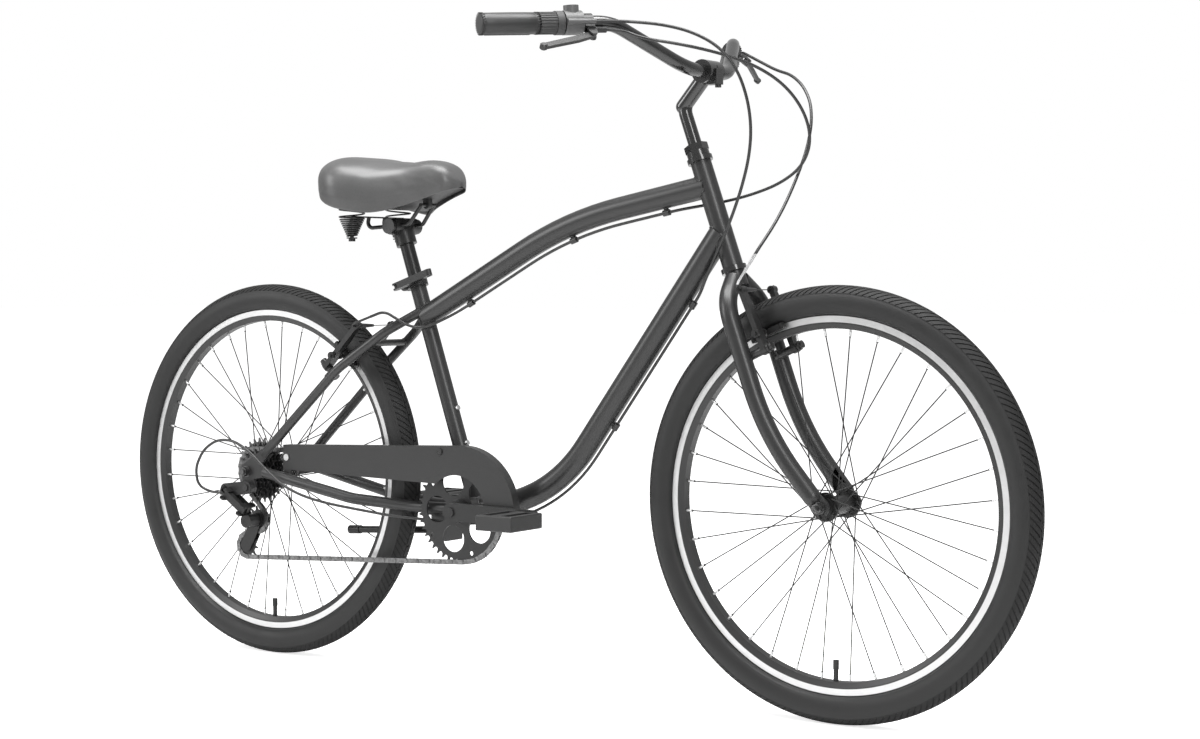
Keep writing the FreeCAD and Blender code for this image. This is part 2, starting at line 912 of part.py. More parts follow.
def chain_length(cage_deg):
    return sum(length for kind, length, values in chain_segments(cage_deg))


def settled_cage_deg():
    """Cage angle at which the chain's links just fill its path."""
    low, high = cage_low_deg, cage_high_deg
    for step in range(60):
        middle = (low + high) / 2
        if chain_length(middle) > chain_links * chain_pitch:
            low = middle
        else:
            high = middle
    return middle


cage_deg = settled_cage_deg()
tension = tension_centre(cage_deg)
segments = chain_segments(cage_deg)
link_step = chain_length(cage_deg) / chain_links


def on_chain(distance):
    """Point of the pitch line at a distance along it."""
    for kind, length, values in segments:
        if distance <= length:
            break
        distance -= length
    if kind == "run":
        start, end = values
        return start + unit(end - start) * distance
    centre, radius, sense, arrive = values
    return centre + heading(math.degrees(arrive + sense * distance / radius)) * radius


chain_pins = [on_chain(link_step * index) for index in range(chain_links)]


def tooth_phase(wheel_index):
    """Angle of a chain pin that lies on the wheel."""
    before = sum(length for kind, length, values in segments[:2 * wheel_index])
    pin = chain_pins[math.ceil(before / link_step) % chain_links]
    offset = pin - chain_wheels(cage_deg)[wheel_index][0]
    return math.degrees(math.atan2(offset.z, offset.x))


def toothed(centre, teeth, phase_deg, middle_y, thickness):
    """Toothed disc whose hollows seat the chain's rollers."""
    radius = pitch_radius(teeth)
    seat_r = roller_r + clear_gap
    level = V(0, middle_y - thickness / 2, 0)
    edges = []
    step = 360.0 / teeth
    for index in range(teeth):
        out = heading(phase_deg + step * index)
        along = heading(phase_deg + step * index + 90)
        pin = centre + level + out * radius
        wide = along * (seat_r * math.sin(math.pi / 3))
        deep = out * (seat_r * math.cos(math.pi / 3))
        edges.append(Part.Arc(pin - wide - deep, pin - out * seat_r, pin + wide - deep).toShape())
        tip_out = heading(phase_deg + step * (index + 0.5))
        tip_along = heading(phase_deg + step * (index + 0.5) + 90) * tooth_tip_half
        tip = centre + level + tip_out * (radius + tooth_rise)
        next_out = heading(phase_deg + step * (index + 1))
        next_along = heading(phase_deg + step * (index + 1) + 90)
        next_pin = centre + level + next_out * radius
        next_start = (next_pin - next_along * (seat_r * math.sin(math.pi / 3))
                      - next_out * (seat_r * math.cos(math.pi / 3)))
        edges.append(Part.makeLine(pin + wide - deep, tip - tip_along))
        edges.append(Part.makeLine(tip - tip_along, tip + tip_along))
        edges.append(Part.makeLine(tip + tip_along, next_start))
    return Part.Face(Part.Wire(edges)).extrude(LEFT * thickness)


def chain_link(inner):
    """One link along X between two pins; an inner link has rollers, an outer link has the pins."""
    first = V(0, 0, 0)
    second = V(chain_pitch, 0, 0)
    start = chain_inner_half
    if not inner:
        start += chain_plate_thickness + chain_plate_gap
    parts = []
    for side in (1, -1):
        plate = strap(first, second, chain_plate_r, chain_plate_r, LEFT * (side * chain_plate_thickness))
        plate.translate(LEFT * (side * start))
        parts.append(plate)
    for pin in (first, second):
        if inner:
            parts.append(cylinder(pin - LEFT * start, pin + LEFT * start, roller_r))
        else:
            reach = start + chain_plate_thickness + chain_pin_proud
            parts.append(cylinder(pin - LEFT * reach, pin + LEFT * reach, chain_pin_r))
    link = fused(parts)
    if inner:
        reach = start + chain_plate_thickness
        for pin in (first, second):
            link = link.cut(bore(pin - LEFT * reach, pin + LEFT * reach, chain_pin_r + chain_plate_gap))
    return link


def chain():
    """Closed roller chain, inner and outer links in turn."""
    kinds = [chain_link(True), chain_link(False)]
    links = []
    for index, pin in enumerate(chain_pins):
        way = chain_pins[(index + 1) % chain_links] - pin
        slack = unit(way) * ((way.Length - chain_pitch) / 2)
        turn = FreeCAD.Rotation(V(1, 0, 0), way)
        link = kinds[index % 2].copy()
        link.Placement = FreeCAD.Placement(pin + slack - LEFT * chainline, turn)
        links.append(link)
    return links


def freewheel():
    """Seven cogs on one core that runs on the hub."""
    parts = []
    for index, teeth in enumerate(cog_teeth):
        middle_y = -chainline - cog_step * (chain_cog - index)
        phase = tooth_phase(0) if index == chain_cog else 0
        parts.append(toothed(rear, teeth, phase, middle_y, cog_thickness))
    outer = chainline + cog_step * chain_cog + cog_thickness / 2
    inner = chainline - cog_step * (len(cog_teeth) - 1 - chain_cog) - cog_thickness / 2
    parts.append(cylinder(rear - LEFT * outer, rear - LEFT * inner, freewheel_core_r))
    seat = bore(rear - LEFT * outer, rear - LEFT * inner, freewheel_seat_r + running_gap)
    return fused(parts).cut(seat)


# Frame


top_tube_points = [
    on_seat(top_tube_seat_at),
    meet(on_seat(top_tube_seat_at), heading(top_tube_rear_deg),
         on_head(top_tube_head_at), heading(top_tube_front_deg)),
    on_head(top_tube_head_at),
]
down_tube_points = [
    bb,
    meet(bb, heading(down_tube_foot_deg), on_head(down_tube_head_at), heading(down_tube_deg)),
    on_head(down_tube_head_at),
]
stay_half = rear_lock_half + dropout_thickness / 2


def seatstay_points(side):
    return [
        rear + V(seatstay_end_ahead, side * stay_half, seatstay_end_above),
        rear + V(seatstay_knee_ahead, side * seatstay_knee_half, seatstay_knee_above),
        rear + V(seatstay_shoulder_ahead, side * seatstay_shoulder_half, seatstay_shoulder_above),
        on_seat(seatstay_top_at) + LEFT * (side * seatstay_top_half),
    ]


def chainstay_points(side):
    return [
        rear + V(chainstay_end_ahead, side * stay_half, 0),
        rear + V(chainstay_knee_ahead, side * chainstay_knee_half, -chainstay_knee_drop),
        bb + V(-chainstay_bend_behind_bb, side * chainstay_bend_half, 0),
        bb + V(0, side * chainstay_root_half, 0),
    ]


hanger = rear + V(hanger_ahead, 0, -hanger_drop)
rear_brake = rear + heading(rear_brake_deg) * (rim_edge_r - rim_track / 2 - brake_pad_height)
front_brake = front + heading(front_brake_deg) * (rim_edge_r - rim_track / 2 - brake_pad_height)


def in_rear_brake(out, left, along):
    """Point in the rear brake's directions: out along its studs, left, and outward from the axle."""
    return rear_brake + heading(rear_brake_deg + 90) * out + LEFT * left + heading(rear_brake_deg) * along


def in_front_brake(out, left, along):
    return front_brake + heading(front_brake_deg - 90) * out + LEFT * left + heading(front_brake_deg) * along


def brake_stud(place, side, back):
    """Stud that a brake arm turns on."""
    left = side * brake_half
    base = cylinder(place(-back, left, 0), place(brake_stud_base_end, left, 0), brake_stud_base_r)
    pin = cylinder(place(0, left, 0), place(brake_stud_end, left, 0), brake_stud_r)
    return [base, pin]


cable_drop = guide_drop + cable_r


def below_path(points, radius, bend_r):
    """Corner points and bend radius of a line that runs below a bent tube in the XZ plane."""
    ways = [unit(b - a) for a, b in zip(points, points[1:])]
    downs = [V(way.z, 0, -way.x) for way in ways]
    offset = radius + cable_drop
    first = points[0] + downs[0] * offset
    last = points[-1] + downs[1] * offset
    return first, meet(first, ways[0], last, ways[1]), last


top_below = below_path(top_tube_points, top_tube_r, top_tube_bend_r)
down_below = below_path(down_tube_points, down_tube_r, down_tube_bend_r)


def between(first, last, share):
    return first + (last - first) * share


top_guides = [between(top_below[1], top_below[2], top_guide_shares[0]),
              between(top_below[0], top_below[1], top_guide_shares[1])]
down_guides = [between(down_below[2], down_below[1], share) for share in down_guide_shares]
foot_guides = [between(down_below[1], down_below[0], foot_guide_share)]


def top_bend_guide():
    """Middle of the cable's bend under the top tube, and its direction there."""
    ways = [unit(b - a) for a, b in zip(top_below, top_below[1:])]
    half_turn = ways[0].getAngle(ways[1]) / 2
    radius = top_tube_bend_r - top_tube_r - cable_drop
    inward = unit(ways[1] - ways[0])
    return top_below[1] + inward * (radius / math.cos(half_turn) - radius), unit(ways[0] + ways[1])


def cable_guide(spot, way, tube_r):
    """Brazed-on guide: a short sleeve round the cable with a stalk to its tube."""
    up = V(-way.z, 0, way.x)
    if up.z < 0:
        up = up * -1
    sleeve = cylinder(spot - way * (guide_length / 2), spot + way * (guide_length / 2), guide_r)
    stalk = cylinder(spot, spot + up * (tube_r + cable_drop - tube_wall), guide_stalk_r)
    return fused([sleeve, stalk])


def frame_guides():
    """All cable guides, and the cutters for their bores."""
    bend_spot, bend_way = top_bend_guide()
    rows = [(top_guides[:1], top_below[2] - top_below[1], top_tube_r),
            ([bend_spot], bend_way, top_tube_r),
            (top_guides[1:], top_below[1] - top_below[0], top_tube_r),
            (down_guides, down_below[2] - down_below[1], down_tube_r),
            (foot_guides, down_below[1] - down_below[0], down_tube_r)]
    guides = []
    cutters = []
    for spots, run, tube_r in rows:
        way = unit(run)
        for spot in spots:
            guides.append(cable_guide(spot, way, tube_r))
            half = way * (guide_length / 2)
            cutters.append(bore(spot - half, spot + half, cable_r + clear_gap))
    return guides, cutters


guard_centre = bb + V(guard_centre_ahead, 0, 0)
guard_rear_bolt = rear + V(guard_rear_ahead + guard_bolt_inset, 0, guard_rear_above - guard_rear_height / 2)
guard_post = bb + seat_up * guard_post_at


def frame_tubes():
    """Outer and inner sweeps of the bent tubes."""
    rows = [(top_tube_points, [top_tube_bend_r], top_tube_r),
            (down_tube_points, [down_tube_bend_r], down_tube_r)]
    for side in (1, -1):
        rows.append((seatstay_points(side), [seatstay_knee_r, seatstay_shoulder_r], seatstay_r))
        rows.append((chainstay_points(side), [chainstay_knee_r, chainstay_bend_r], chainstay_r))
    outer = [bent_bar(points, radii, radius) for points, radii, radius in rows]
    inner = [bent_bar(points, radii, radius - tube_wall) for points, radii, radius in rows]
    return outer, inner


def rear_dropout(side):
    """Plate that joins the two stays round the axle slot; the right one carries the hanger."""
    depth = LEFT * (side * dropout_thickness)
    face = LEFT * (side * rear_lock_half)
    seat_end = rear + V(seatstay_end_ahead, 0, seatstay_end_above)
    chain_end = rear + V(chainstay_end_ahead, 0, 0)
    parts = []
    for end in (seat_end, chain_end):
        parts.append(strap(rear + face, end + face, dropout_r, dropout_stay_r, depth))
    if side < 0:
        parts.append(strap(rear + face, hanger + face, dropout_r, hanger_r, depth))
    plate = fused(parts)
    inner = face - LEFT * (side * cut_over)
    thick = LEFT * (side * (dropout_thickness + 2 * cut_over))
    slot_r = rear_axle_r + clear_gap
    plate = plate.cut(strap(rear + inner, rear + inner - V(dropout_slot, 0, 0), slot_r, slot_r, thick))
    if side < 0:
        plate = plate.cut(bore(hanger + face, hanger + face + depth, hanger_bolt_r + press_gap))
    return plate


def guard_tabs():
    """Tab and post that carry the chain guard."""
    tab_face = -(guard_at - press_gap)
    tab_foot = rear + V(guard_rear_ahead + guard_bolt_inset, 0, -chainstay_r / 2)
    tab = strap(tab_foot + LEFT * tab_face, guard_rear_bolt + LEFT * tab_face, guard_tab_r, guard_tab_r,
                LEFT * guard_tab_thickness)
    post = cylinder(guard_post, guard_post + LEFT * tab_face, guard_post_r)
    return [tab, post]


kickstand_mount = bb - V(kickstand_behind_bb, 0, chainstay_r + kickstand_plate_thickness / 2 - kickstand_weld)


def frame():
    """Welded steel frame with hollow tubes."""
    outer, inner = frame_tubes()
    tubes = fused(outer).cut(Part.makeCompound(inner))
    parts = [
        cylinder(on_head(head_tube_low), on_head(head_tube_top), head_tube_r),
        cylinder(bb, on_seat(seat_tube_length), seat_tube_r),
        cylinder(bb - LEFT * bb_shell_half, bb + LEFT * bb_shell_half, bb_shell_r),
        block(kickstand_mount, kickstand_plate_length, 2 * kickstand_plate_half, kickstand_plate_thickness),
    ]
    bridge = []
    for side in (1, -1):
        points = seatstay_points(side)
        bridge.append(between(points[1], points[2], stay_bridge_share))
    parts.append(cylinder(bridge[0], bridge[1], stay_bridge_r))
    for side in (1, -1):
        parts.append(rear_dropout(side))
        parts += brake_stud(in_rear_brake, side, rear_stud_back)
        stay = in_rear_brake(-rear_stud_back, side * seatstay_knee_half, 0)
        stud = in_rear_brake(-rear_stud_back, side * brake_half, 0)
        parts.append(strap(stud, stay, brake_stud_base_r, brake_stud_base_r,
                           heading(rear_brake_deg + 90) * brake_boss_r))
    guides, guide_bores = frame_guides()
    parts += guides + guard_tabs()
    bottle_holes = []
    for index in range(2):
        spot = on_seat(bottle_bolt_low_at + index * bottle_bolt_pitch)
        bottle_holes.append(bore(spot, spot + seat_ahead * seat_tube_r, bottle_bolt_r + press_gap))
    cutters = guide_bores + bottle_holes + [
        bore(on_head(head_tube_low), on_head(head_tube_top), head_tube_r - head_tube_wall),
        bore(on_seat(bb_shell_r), on_seat(seat_tube_length), seat_bore_r),
        bore(bb - LEFT * bb_shell_half, bb + LEFT * bb_shell_half, bb_shell_r - bb_shell_wall),
        bore(guard_rear_bolt, guard_rear_bolt - LEFT * guard_at, guard_bolt_r + press_gap),
        bore(guard_post - LEFT * (guard_at - guard_bolt_depth), guard_post - LEFT * guard_at,
             guard_bolt_r + press_gap),
        bore(kickstand_mount - UP * kickstand_plate_thickness,
             kickstand_mount + UP * kickstand_plate_thickness,
             kickstand_bolt_r + press_gap),
    ]
    return fused([tubes] + parts).cut(Part.makeCompound(cutters))


def bearing_cups():
    """Headset cups on the head tube's ends and bottom-bracket cups in its shell."""
    race_bore = headset_race_r + running_gap
    solids = [
        ring(on_head(head_tube_low - headset_cup_height), on_head(head_tube_low), headset_cup_r, race_bore),
        ring(on_head(head_tube_top), on_head(head_tube_top + headset_cup_height), headset_cup_r, race_bore),
    ]
    for side in (1, -1):
        face = bb + LEFT * (side * bb_shell_half)
        lip = cylinder(face, face + LEFT * (side * bb_cup_lip), bb_cup_lip_r)
        thread = cylinder(face - LEFT * (side * bb_cup_depth), face, bb_shell_r - bb_shell_wall - press_gap)
        hole = bore(face - LEFT * (side * bb_cup_depth), face + LEFT * (side * bb_cup_lip),
                    bb_axle_r + running_gap)
        solids.append(fused([lip, thread]).cut(hole))
    return solids


# Fork, stem and handlebar


def fork_leg_points(side):
    return [
        in_fork(0, side * fork_crown_half, fork_crown_at),
        in_fork(0, side * fork_half, fork_shoulder_at),
        in_fork(0, side * fork_half, fork_bend_at),
        in_fork(fork_tip_ahead, side * fork_tip_half, fork_tip_at),
    ]


steerer_top_at = head_tube_top + headset_cup_height + headset_cone_height + headset_locknut_height


def fork():
    """Unicrown fork: two bent legs, steerer, dropouts and brake studs."""
    radii = [fork_shoulder_r, fork_bend_r]
    legs = [bent_bar(fork_leg_points(side), radii, fork_leg_r) for side in (1, -1)]
    hollows = [bent_bar(fork_leg_points(side), radii, fork_leg_r - fork_leg_wall) for side in (1, -1)]
    race_low = head_tube_low - headset_cup_height
    parts = [fused(legs).cut(Part.makeCompound(hollows)),
             cylinder(on_head(steerer_low_at), on_head(steerer_top_at), steerer_r),
             cylinder(on_head(steerer_low_at), on_head(race_low - clear_gap), headset_race_r)]
    slots = []
    for side in (1, -1):
        face = side * front_lock_half
        depth = LEFT * (side * dropout_thickness)
        tip = in_fork(fork_tip_ahead, face, fork_tip_at)
        axle = front + LEFT * face
        parts.append(strap(axle, tip, fork_dropout_r, fork_tip_r, depth))
        cap_in = in_fork(fork_tip_ahead, side * fork_tip_half, fork_tip_at)
        parts.append(Part.makeSphere(fork_leg_r, cap_in))
        slot_r = front_axle_r + clear_gap
        inner = LEFT * (side * cut_over)
        slot_low = axle - inner - head_up * dropout_slot
        slots.append(strap(axle - inner, slot_low, slot_r, slot_r, depth + inner * 2))
        slots.append(block(axle - LEFT * (side * front_lock_half / 2), 4 * fork_dropout_r,
                           front_lock_half, 8 * fork_dropout_r))
        washer_face = side * (front_lock_half + dropout_thickness)
        slots.append(cylinder(front + LEFT * washer_face, front + LEFT * (side * front_axle_half),
                              axle_washer_r + clear_gap))
        parts += brake_stud(in_front_brake, side, front_stud_back)
    slots.append(bore(on_head(steerer_low_at), on_head(steerer_top_at), steerer_r - steerer_wall))
    return fused(parts).cut(Part.makeCompound(slots))


def headset_races():
    """Crown race, upper threaded cone and locknut on the steerer."""
    hole_r = steerer_r + press_gap
    low = head_tube_low - headset_cup_height
    crown = ring(on_head(low - clear_gap), on_head(head_tube_low - clear_gap), headset_race_r, hole_r)
    seat = head_tube_top + clear_gap
    cone_end = head_tube_top + headset_cup_height + headset_cone_height
    inside = cylinder(on_head(seat), on_head(cone_end), headset_race_r)
    cover = cylinder(on_head(head_tube_top + headset_cup_height + clear_gap), on_head(cone_end),
                     (headset_race_r + headset_cup_r) / 2)
    cone = fused([inside, cover]).cut(bore(on_head(seat), on_head(cone_end), hole_r))
    nut = hexagon(on_head(cone_end), on_head(steerer_top_at), headset_locknut_flats)
    return [crown, cone, nut.cut(bore(on_head(cone_end), on_head(steerer_top_at), hole_r))]


bar_clamp = on_head(stem_bend_at) + V(bar_clamp_ahead, 0, bar_clamp_rise)
stem_bore_r = steerer_r - steerer_wall
quill_r = stem_bore_r - running_gap
quill_low_at = steerer_top_at - stem_quill_depth


def stem():
    """Quill stem with its bar clamp, expander bolt and wedge."""
    bend = on_head(stem_bend_at)
    quill = bent_bar([on_head(quill_low_at), bend, bar_clamp], [stem_bend_r], quill_r)
    arm = cylinder(bend, bar_clamp, stem_arm_r)
    knob = Part.makeSphere(stem_arm_r, bend)
    clamp = cylinder(bar_clamp - LEFT * stem_clamp_half, bar_clamp + LEFT * stem_clamp_half, stem_clamp_r)
    way = unit(bar_clamp - bend)
    front_way = V(way.z, 0, -way.x)
    ear = block(bar_clamp + front_way * stem_bolt_drop / 2, stem_bolt_drop, stem_clamp_half, stem_bolt_drop)
    hole = bore(bar_clamp - LEFT * stem_clamp_half, bar_clamp + LEFT * stem_clamp_half, bar_r + press_gap)
    bolt_spot = bar_clamp + front_way * stem_bolt_drop
    bolt_line = (bolt_spot - UP * stem_bolt_drop, bolt_spot + UP * stem_bolt_drop)
    body = fused([quill, arm, knob, clamp, ear]).cut(hole)
    body = body.cut(bore(bolt_line[0], bolt_line[1], stem_bolt_r + press_gap))
    shaft = bore(on_head(quill_low_at), on_head(stem_bend_at + stem_bend_r), expander_bolt_r + clear_gap)
    wedge_low = quill_low_at - stem_wedge_length
    wedge = cylinder(on_head(wedge_low), on_head(quill_low_at - clear_gap), quill_r)
    expander = cylinder(on_head(wedge_low + stem_wedge_length / 2), on_head(stem_bend_at), expander_bolt_r)
    wedge = wedge.cut(bore(on_head(wedge_low), on_head(quill_low_at), expander_bolt_r + press_gap))
    return [body.cut(shaft), wedge, expander]


twist_start = grip_right_length + control_gap
shifter_start = twist_start + twist_length + control_gap
right_lever_start = shifter_start + shifter_length + control_gap
left_lever_start = grip_left_length + left_lever_gap
controls_length = max(left_lever_start, right_lever_start) + lever_clamp_width


def bar_points(side):
    """Half of the handlebar from its middle to its end, which is straight under the controls."""
    knee = bar_clamp + LEFT * (side * bar_knee_half)
    shoulder = bar_clamp + V(-bar_shoulder_back, side * bar_shoulder_half, bar_shoulder_rise)
    sweep = math.radians(bar_sweep_deg)
    droop = math.radians(bar_droop_deg)
    flat = V(-math.sin(sweep), side * math.cos(sweep), 0)
    way = flat * math.cos(droop) - UP * math.sin(droop)
    bend = bar_shoulder_r * math.tan((shoulder - knee).getAngle(way) / 2)
    return [bar_clamp, knee, shoulder, shoulder + way * (bend + bar_bend_room + controls_length)]


def handlebar():
    """Swept-back tube through the stem's clamp."""
    left = bar_points(1)
    points = list(reversed(left[1:])) + bar_points(-1)[1:]
    radii = [bar_shoulder_r, bar_knee_r, bar_knee_r, bar_shoulder_r]
    outer = bent_bar(points, radii, bar_r)
    return outer.cut(bent_bar(points, radii, bar_r - bar_wall))


def bar_way(side):
    """Unit vector outward along the straight end of the bar."""
    points = bar_points(side)
    return unit(points[3] - points[2])


def on_bar(side, inward):
    """Point on the bar's axis, measured inward from its end."""
    return bar_points(side)[3] - bar_way(side) * inward


def bar_forward(side):
    return unit(UP.cross(bar_way(side))) * -side


def lever_way(side):
    """Direction from the bar to the brake lever, forward and down."""
    tilt = math.radians(lever_tilt_deg)
    flat = bar_forward(side)
    rise = unit(bar_way(side).cross(flat)) * side
    if rise.z < 0:
        rise = rise * -1
    return flat * math.cos(tilt) - rise * math.sin(tilt)


def grip(side):
    """Round grip with a closed end."""
    length = grip_left_length if side > 0 else grip_right_length
    outer = cylinder(on_bar(side, -grip_cap), on_bar(side, length), grip_r)
    outer = outer.makeFillet(grip_cap, [e for e in outer.Edges if e.Curve.TypeId == "Part::GeomCircle"])
    return outer.cut(cylinder(on_bar(side, 0), on_bar(side, length + cut_over), bar_r + press_gap))


def twist_grip():
    """Ribbed sleeve that turns on the bar."""
    start = on_bar(-1, twist_start)
    end = on_bar(-1, twist_start + twist_length)
    edge = between(start, end, twist_rib_share)
    first = across(bar_way(-1))
    second = bar_way(-1).cross(first)
    ribs = []
    for index in range(twist_ribs):
        angle = 2 * math.pi * index / twist_ribs
        offset = (first * math.cos(angle) + second * math.sin(angle)) * twist_r
        ribs.append(cylinder(start + offset, edge + offset, twist_rib_r))
    collar = cylinder(edge, end, twist_r + 2 * twist_rib_r)
    return fused([cylinder(start, end, twist_r), collar] + ribs).cut(bore(start, end, bar_r + running_gap))


def shifter_exit():
    """Start and end of the barrel that the shift cable leaves by."""
    offset = bar_forward(-1) * shifter_exit_offset
    start = on_bar(-1, shifter_start + shifter_length / 2) + offset
    return start, start - bar_way(-1) * (shifter_length / 2 + shifter_exit_length)


def shifter_body():
    """Shifter housing with its indicator hump and cable barrel."""
    start = on_bar(-1, shifter_start)
    end = on_bar(-1, shifter_start + shifter_length)
    shell = cylinder(start, end, shifter_r)
    middle = between(start, end, 0.5)
    first, last = shifter_exit()
    rise = unit(bar_way(-1).cross(bar_forward(-1)))
    if rise.z < 0:
        rise = rise * -1
    hump = cylinder(middle, middle + rise * (shifter_r + shifter_hump), shifter_hump_width / 2)
    neck = strap(middle, first, shifter_r / 2, shifter_exit_r, bar_way(-1) * (shifter_length / 2))
    barrel = cylinder(first, last, shifter_exit_r)
    return fused([shell, hump, neck, barrel]).cut(bore(start, end, bar_r + press_gap))


def lever_pivot(side):
    start = right_lever_start if side < 0 else left_lever_start
    return on_bar(side, start + lever_clamp_width / 2) + lever_way(side) * lever_reach


def adjuster_line(side):
    """Start and end of the barrel adjuster that the brake cable leaves by."""
    start = right_lever_start if side < 0 else left_lever_start
    first = on_bar(side, start + lever_clamp_width / 2) + lever_way(side) * adjuster_offset
    return first, first - bar_way(side) * adjuster_length


def lever_axis(side):
    return unit(bar_way(side).cross(lever_way(side)))


def lever_bracket(side):
    """Clamp on the bar with the lever's forked pivot, its pin and the cable adjuster."""
    start = right_lever_start if side < 0 else left_lever_start
    first = on_bar(side, start)
    last = on_bar(side, start + lever_clamp_width)
    clamp = cylinder(first, last, lever_clamp_r)
    axis = lever_axis(side)
    half = axis * (lever_bracket_thickness / 2)
    middle = between(first, last, 0.5)
    pivot = lever_pivot(side)
    neck = strap(middle - half, pivot - half, lever_neck_r, lever_pivot_r, half * 2)
    slot_half = axis * (lever_slot / 2)
    slot_start = between(middle, pivot, lever_slot_share)
    slot = strap(slot_start - slot_half, pivot + lever_way(side) * lever_neck_r - slot_half,
                 lever_neck_r + cut_over, lever_neck_r + cut_over, slot_half * 2)
    barrel = cylinder(*adjuster_line(side), adjuster_r)
    body = fused([clamp, neck]).cut(slot)
    pin = cylinder(pivot - half, pivot + half, lever_pin_r)
    return fused([body, barrel, pin]).cut(bore(first, last, bar_r + press_gap))


def brake_lever(side):
    """Blade with a thick rounded end."""
    axis = lever_axis(side)
    half = axis * (lever_thickness / 2)
    pivot = lever_pivot(side)
    way = bar_way(side)
    reach = lever_way(side)
    knuckle = pivot + way * lever_knuckle_out + reach * lever_knuckle_reach
    tip = pivot + way * lever_tip_out + reach * lever_tip_reach
    parts = [strap(pivot - half, knuckle - half, lever_root_r, lever_mid_r, half * 2),
             strap(knuckle - half, tip - half, lever_mid_r, lever_tip_r, half * 2)]
    ball_half = axis * (lever_ball_width / 2)
    parts.append(cylinder(tip - ball_half, tip + ball_half, lever_ball_r))
    for face in (ball_half, ball_half * -1):
        parts.append(Part.makeCone(lever_ball_r, lever_ball_flat_r, lever_ball_chamfer, tip + face, face))
    return fused(parts).cut(bore(pivot - half, pivot + half, lever_pin_r + running_gap))


# Brakes


def brake_arm(place, side):
    """Linear-pull brake arm with its pad post and pad, as three solids."""
    left = side * brake_half
    foot = place(brake_arm_out, left, 0)
    depth = place(brake_arm_out + brake_arm_thickness, left, 0) - foot
    top = place(brake_arm_out, left, brake_arm_length)
    arm = strap(foot, top, brake_arm_foot_r, brake_arm_top_r, depth)
    boss_start = place(brake_stud_base_end + clear_gap, left, 0)
    boss = cylinder(boss_start, place(brake_boss_end, left, 0), brake_boss_r)
    middle = brake_arm_out + brake_arm_thickness / 2
    lug_half = brake_lug_length / 2
    lug = cylinder(place(middle, left - lug_half, brake_arm_length),
                   place(middle, left + lug_half, brake_arm_length), brake_lug_r)
    lug_bore = bore(place(middle, left - lug_half, brake_arm_length),
                    place(middle, left + lug_half, brake_arm_length), noodle_r + clear_gap)
    stud_bore = bore(place(0, left, 0), place(brake_stud_end, left, 0), brake_stud_r + running_gap)
    pad_face = side * (rim_width / 2 + pad_gap)
    pad_back = pad_face + side * pad_depth
    holder_back = pad_back + side * pad_holder
    post_end = left + side * pad_post_end
    post = cylinder(place(middle, holder_back, brake_pad_height), place(middle, post_end, brake_pad_height),
                    pad_post_r)
    post_hole = bore(place(middle, holder_back, brake_pad_height), place(middle, post_end, brake_pad_height),
                     pad_post_r + press_gap)
    washers = []
    for edge in (-1, 1):
        start = left + side * edge * (brake_arm_foot_r - clear_gap)
        end = start + side * edge * pad_washer_length
        washers.append(cylinder(place(middle, start, brake_pad_height), place(middle, end, brake_pad_height),
                                pad_washer_r))
    arm = fused([arm, boss, lug]).cut(Part.makeCompound([stud_bore, lug_bore, post_hole]))

    def pad_block(first, last, length, height):
        low = place(middle - length / 2, first, brake_pad_height - height / 2)
        edges = [place(middle + length / 2, first, brake_pad_height - height / 2),
                 place(middle + length / 2, first, brake_pad_height + height / 2),
                 place(middle - length / 2, first, brake_pad_height + height / 2)]
        return Part.Face(Part.makePolygon([low] + edges + [low])).extrude(LEFT * (last - first))

    pad = pad_block(pad_face, pad_back, pad_length, pad_height)
    holder = pad_block(pad_back, holder_back, pad_length * pad_holder_share, pad_height)
    return [arm.cut(Part.makeCompound(washers)), fused([holder, post] + washers), pad]


def brake_bolts(place):
    """The two bolts that hold a pair of brake arms on their studs."""
    solids = []
    for side in (1, -1):
        left = side * brake_half
        head_end = place(brake_stud_end + brake_bolt_length, left, 0)
        head = cylinder(place(brake_stud_end, left, 0), head_end, brake_bolt_r)
        solids.append(head)
    return solids


def brake_link(place, lead_shares):
    """Noodle, boot and wire across the tops of two brake arms; the lead is the way the noodle comes from."""
    middle = brake_arm_out + brake_arm_thickness / 2
    top = place(middle, -brake_half, brake_arm_length)
    lug_half = brake_lug_length / 2
    noodle_end = top + LEFT * (lug_half + cut_over)
    corner = top - LEFT * (lug_half + noodle_bend_r)
    start = corner + unit(V(*lead_shares)) * (noodle_bend_r + noodle_lead)
    noodle = bent_bar([start, corner, noodle_end], [noodle_bend_r * noodle_bend_share], noodle_r)
    wire_end = place(middle, brake_half + brake_lug_length, brake_arm_length)
    wire = cylinder(noodle_end, wire_end, wire_r)
    boot_start = noodle_end + LEFT * clear_gap
    boot = Part.makeCone(boot_r, boot_tip_r, boot_length, boot_start, LEFT)
    boot = boot.cut(bore(boot_start, boot_start + LEFT * boot_length, boot_bore_r))
    return [noodle, wire, boot], start, unit(start - corner)


# Cables


def route_points(origin, route):
    return [origin + V(*place) for place in route]


def front_brake_cable():
    """Housing from the left lever to the front brake, with its noodle and boot."""
    link, start, way = brake_link(in_front_brake, front_noodle_shares)
    first, last = adjuster_line(1)
    lead = unit(last - first)
    points = [last + lead * clear_gap, last + lead * cable_lead] + route_points(bar_clamp, front_brake_route)
    points += [start + way * cable_lead, start + way * clear_gap]
    return [cable("front_brake_cable", points, cable_r)] + link


def loop(name, first, last, route, guide, way, side):
    """Free loop of housing from a control's barrel to the first guide on the frame."""
    lead = unit(last - first)
    end = guide - way * (guide_length / 2 + clear_gap)
    bend = end - way * cable_end_run
    points = [last + lead * clear_gap, last + lead * cable_lead] + route_points(bar_clamp, route)
    points += [bend - way * cable_lead + LEFT * (side * cable_side_step), bend, end]
    return [cable(name, points, cable_r)]


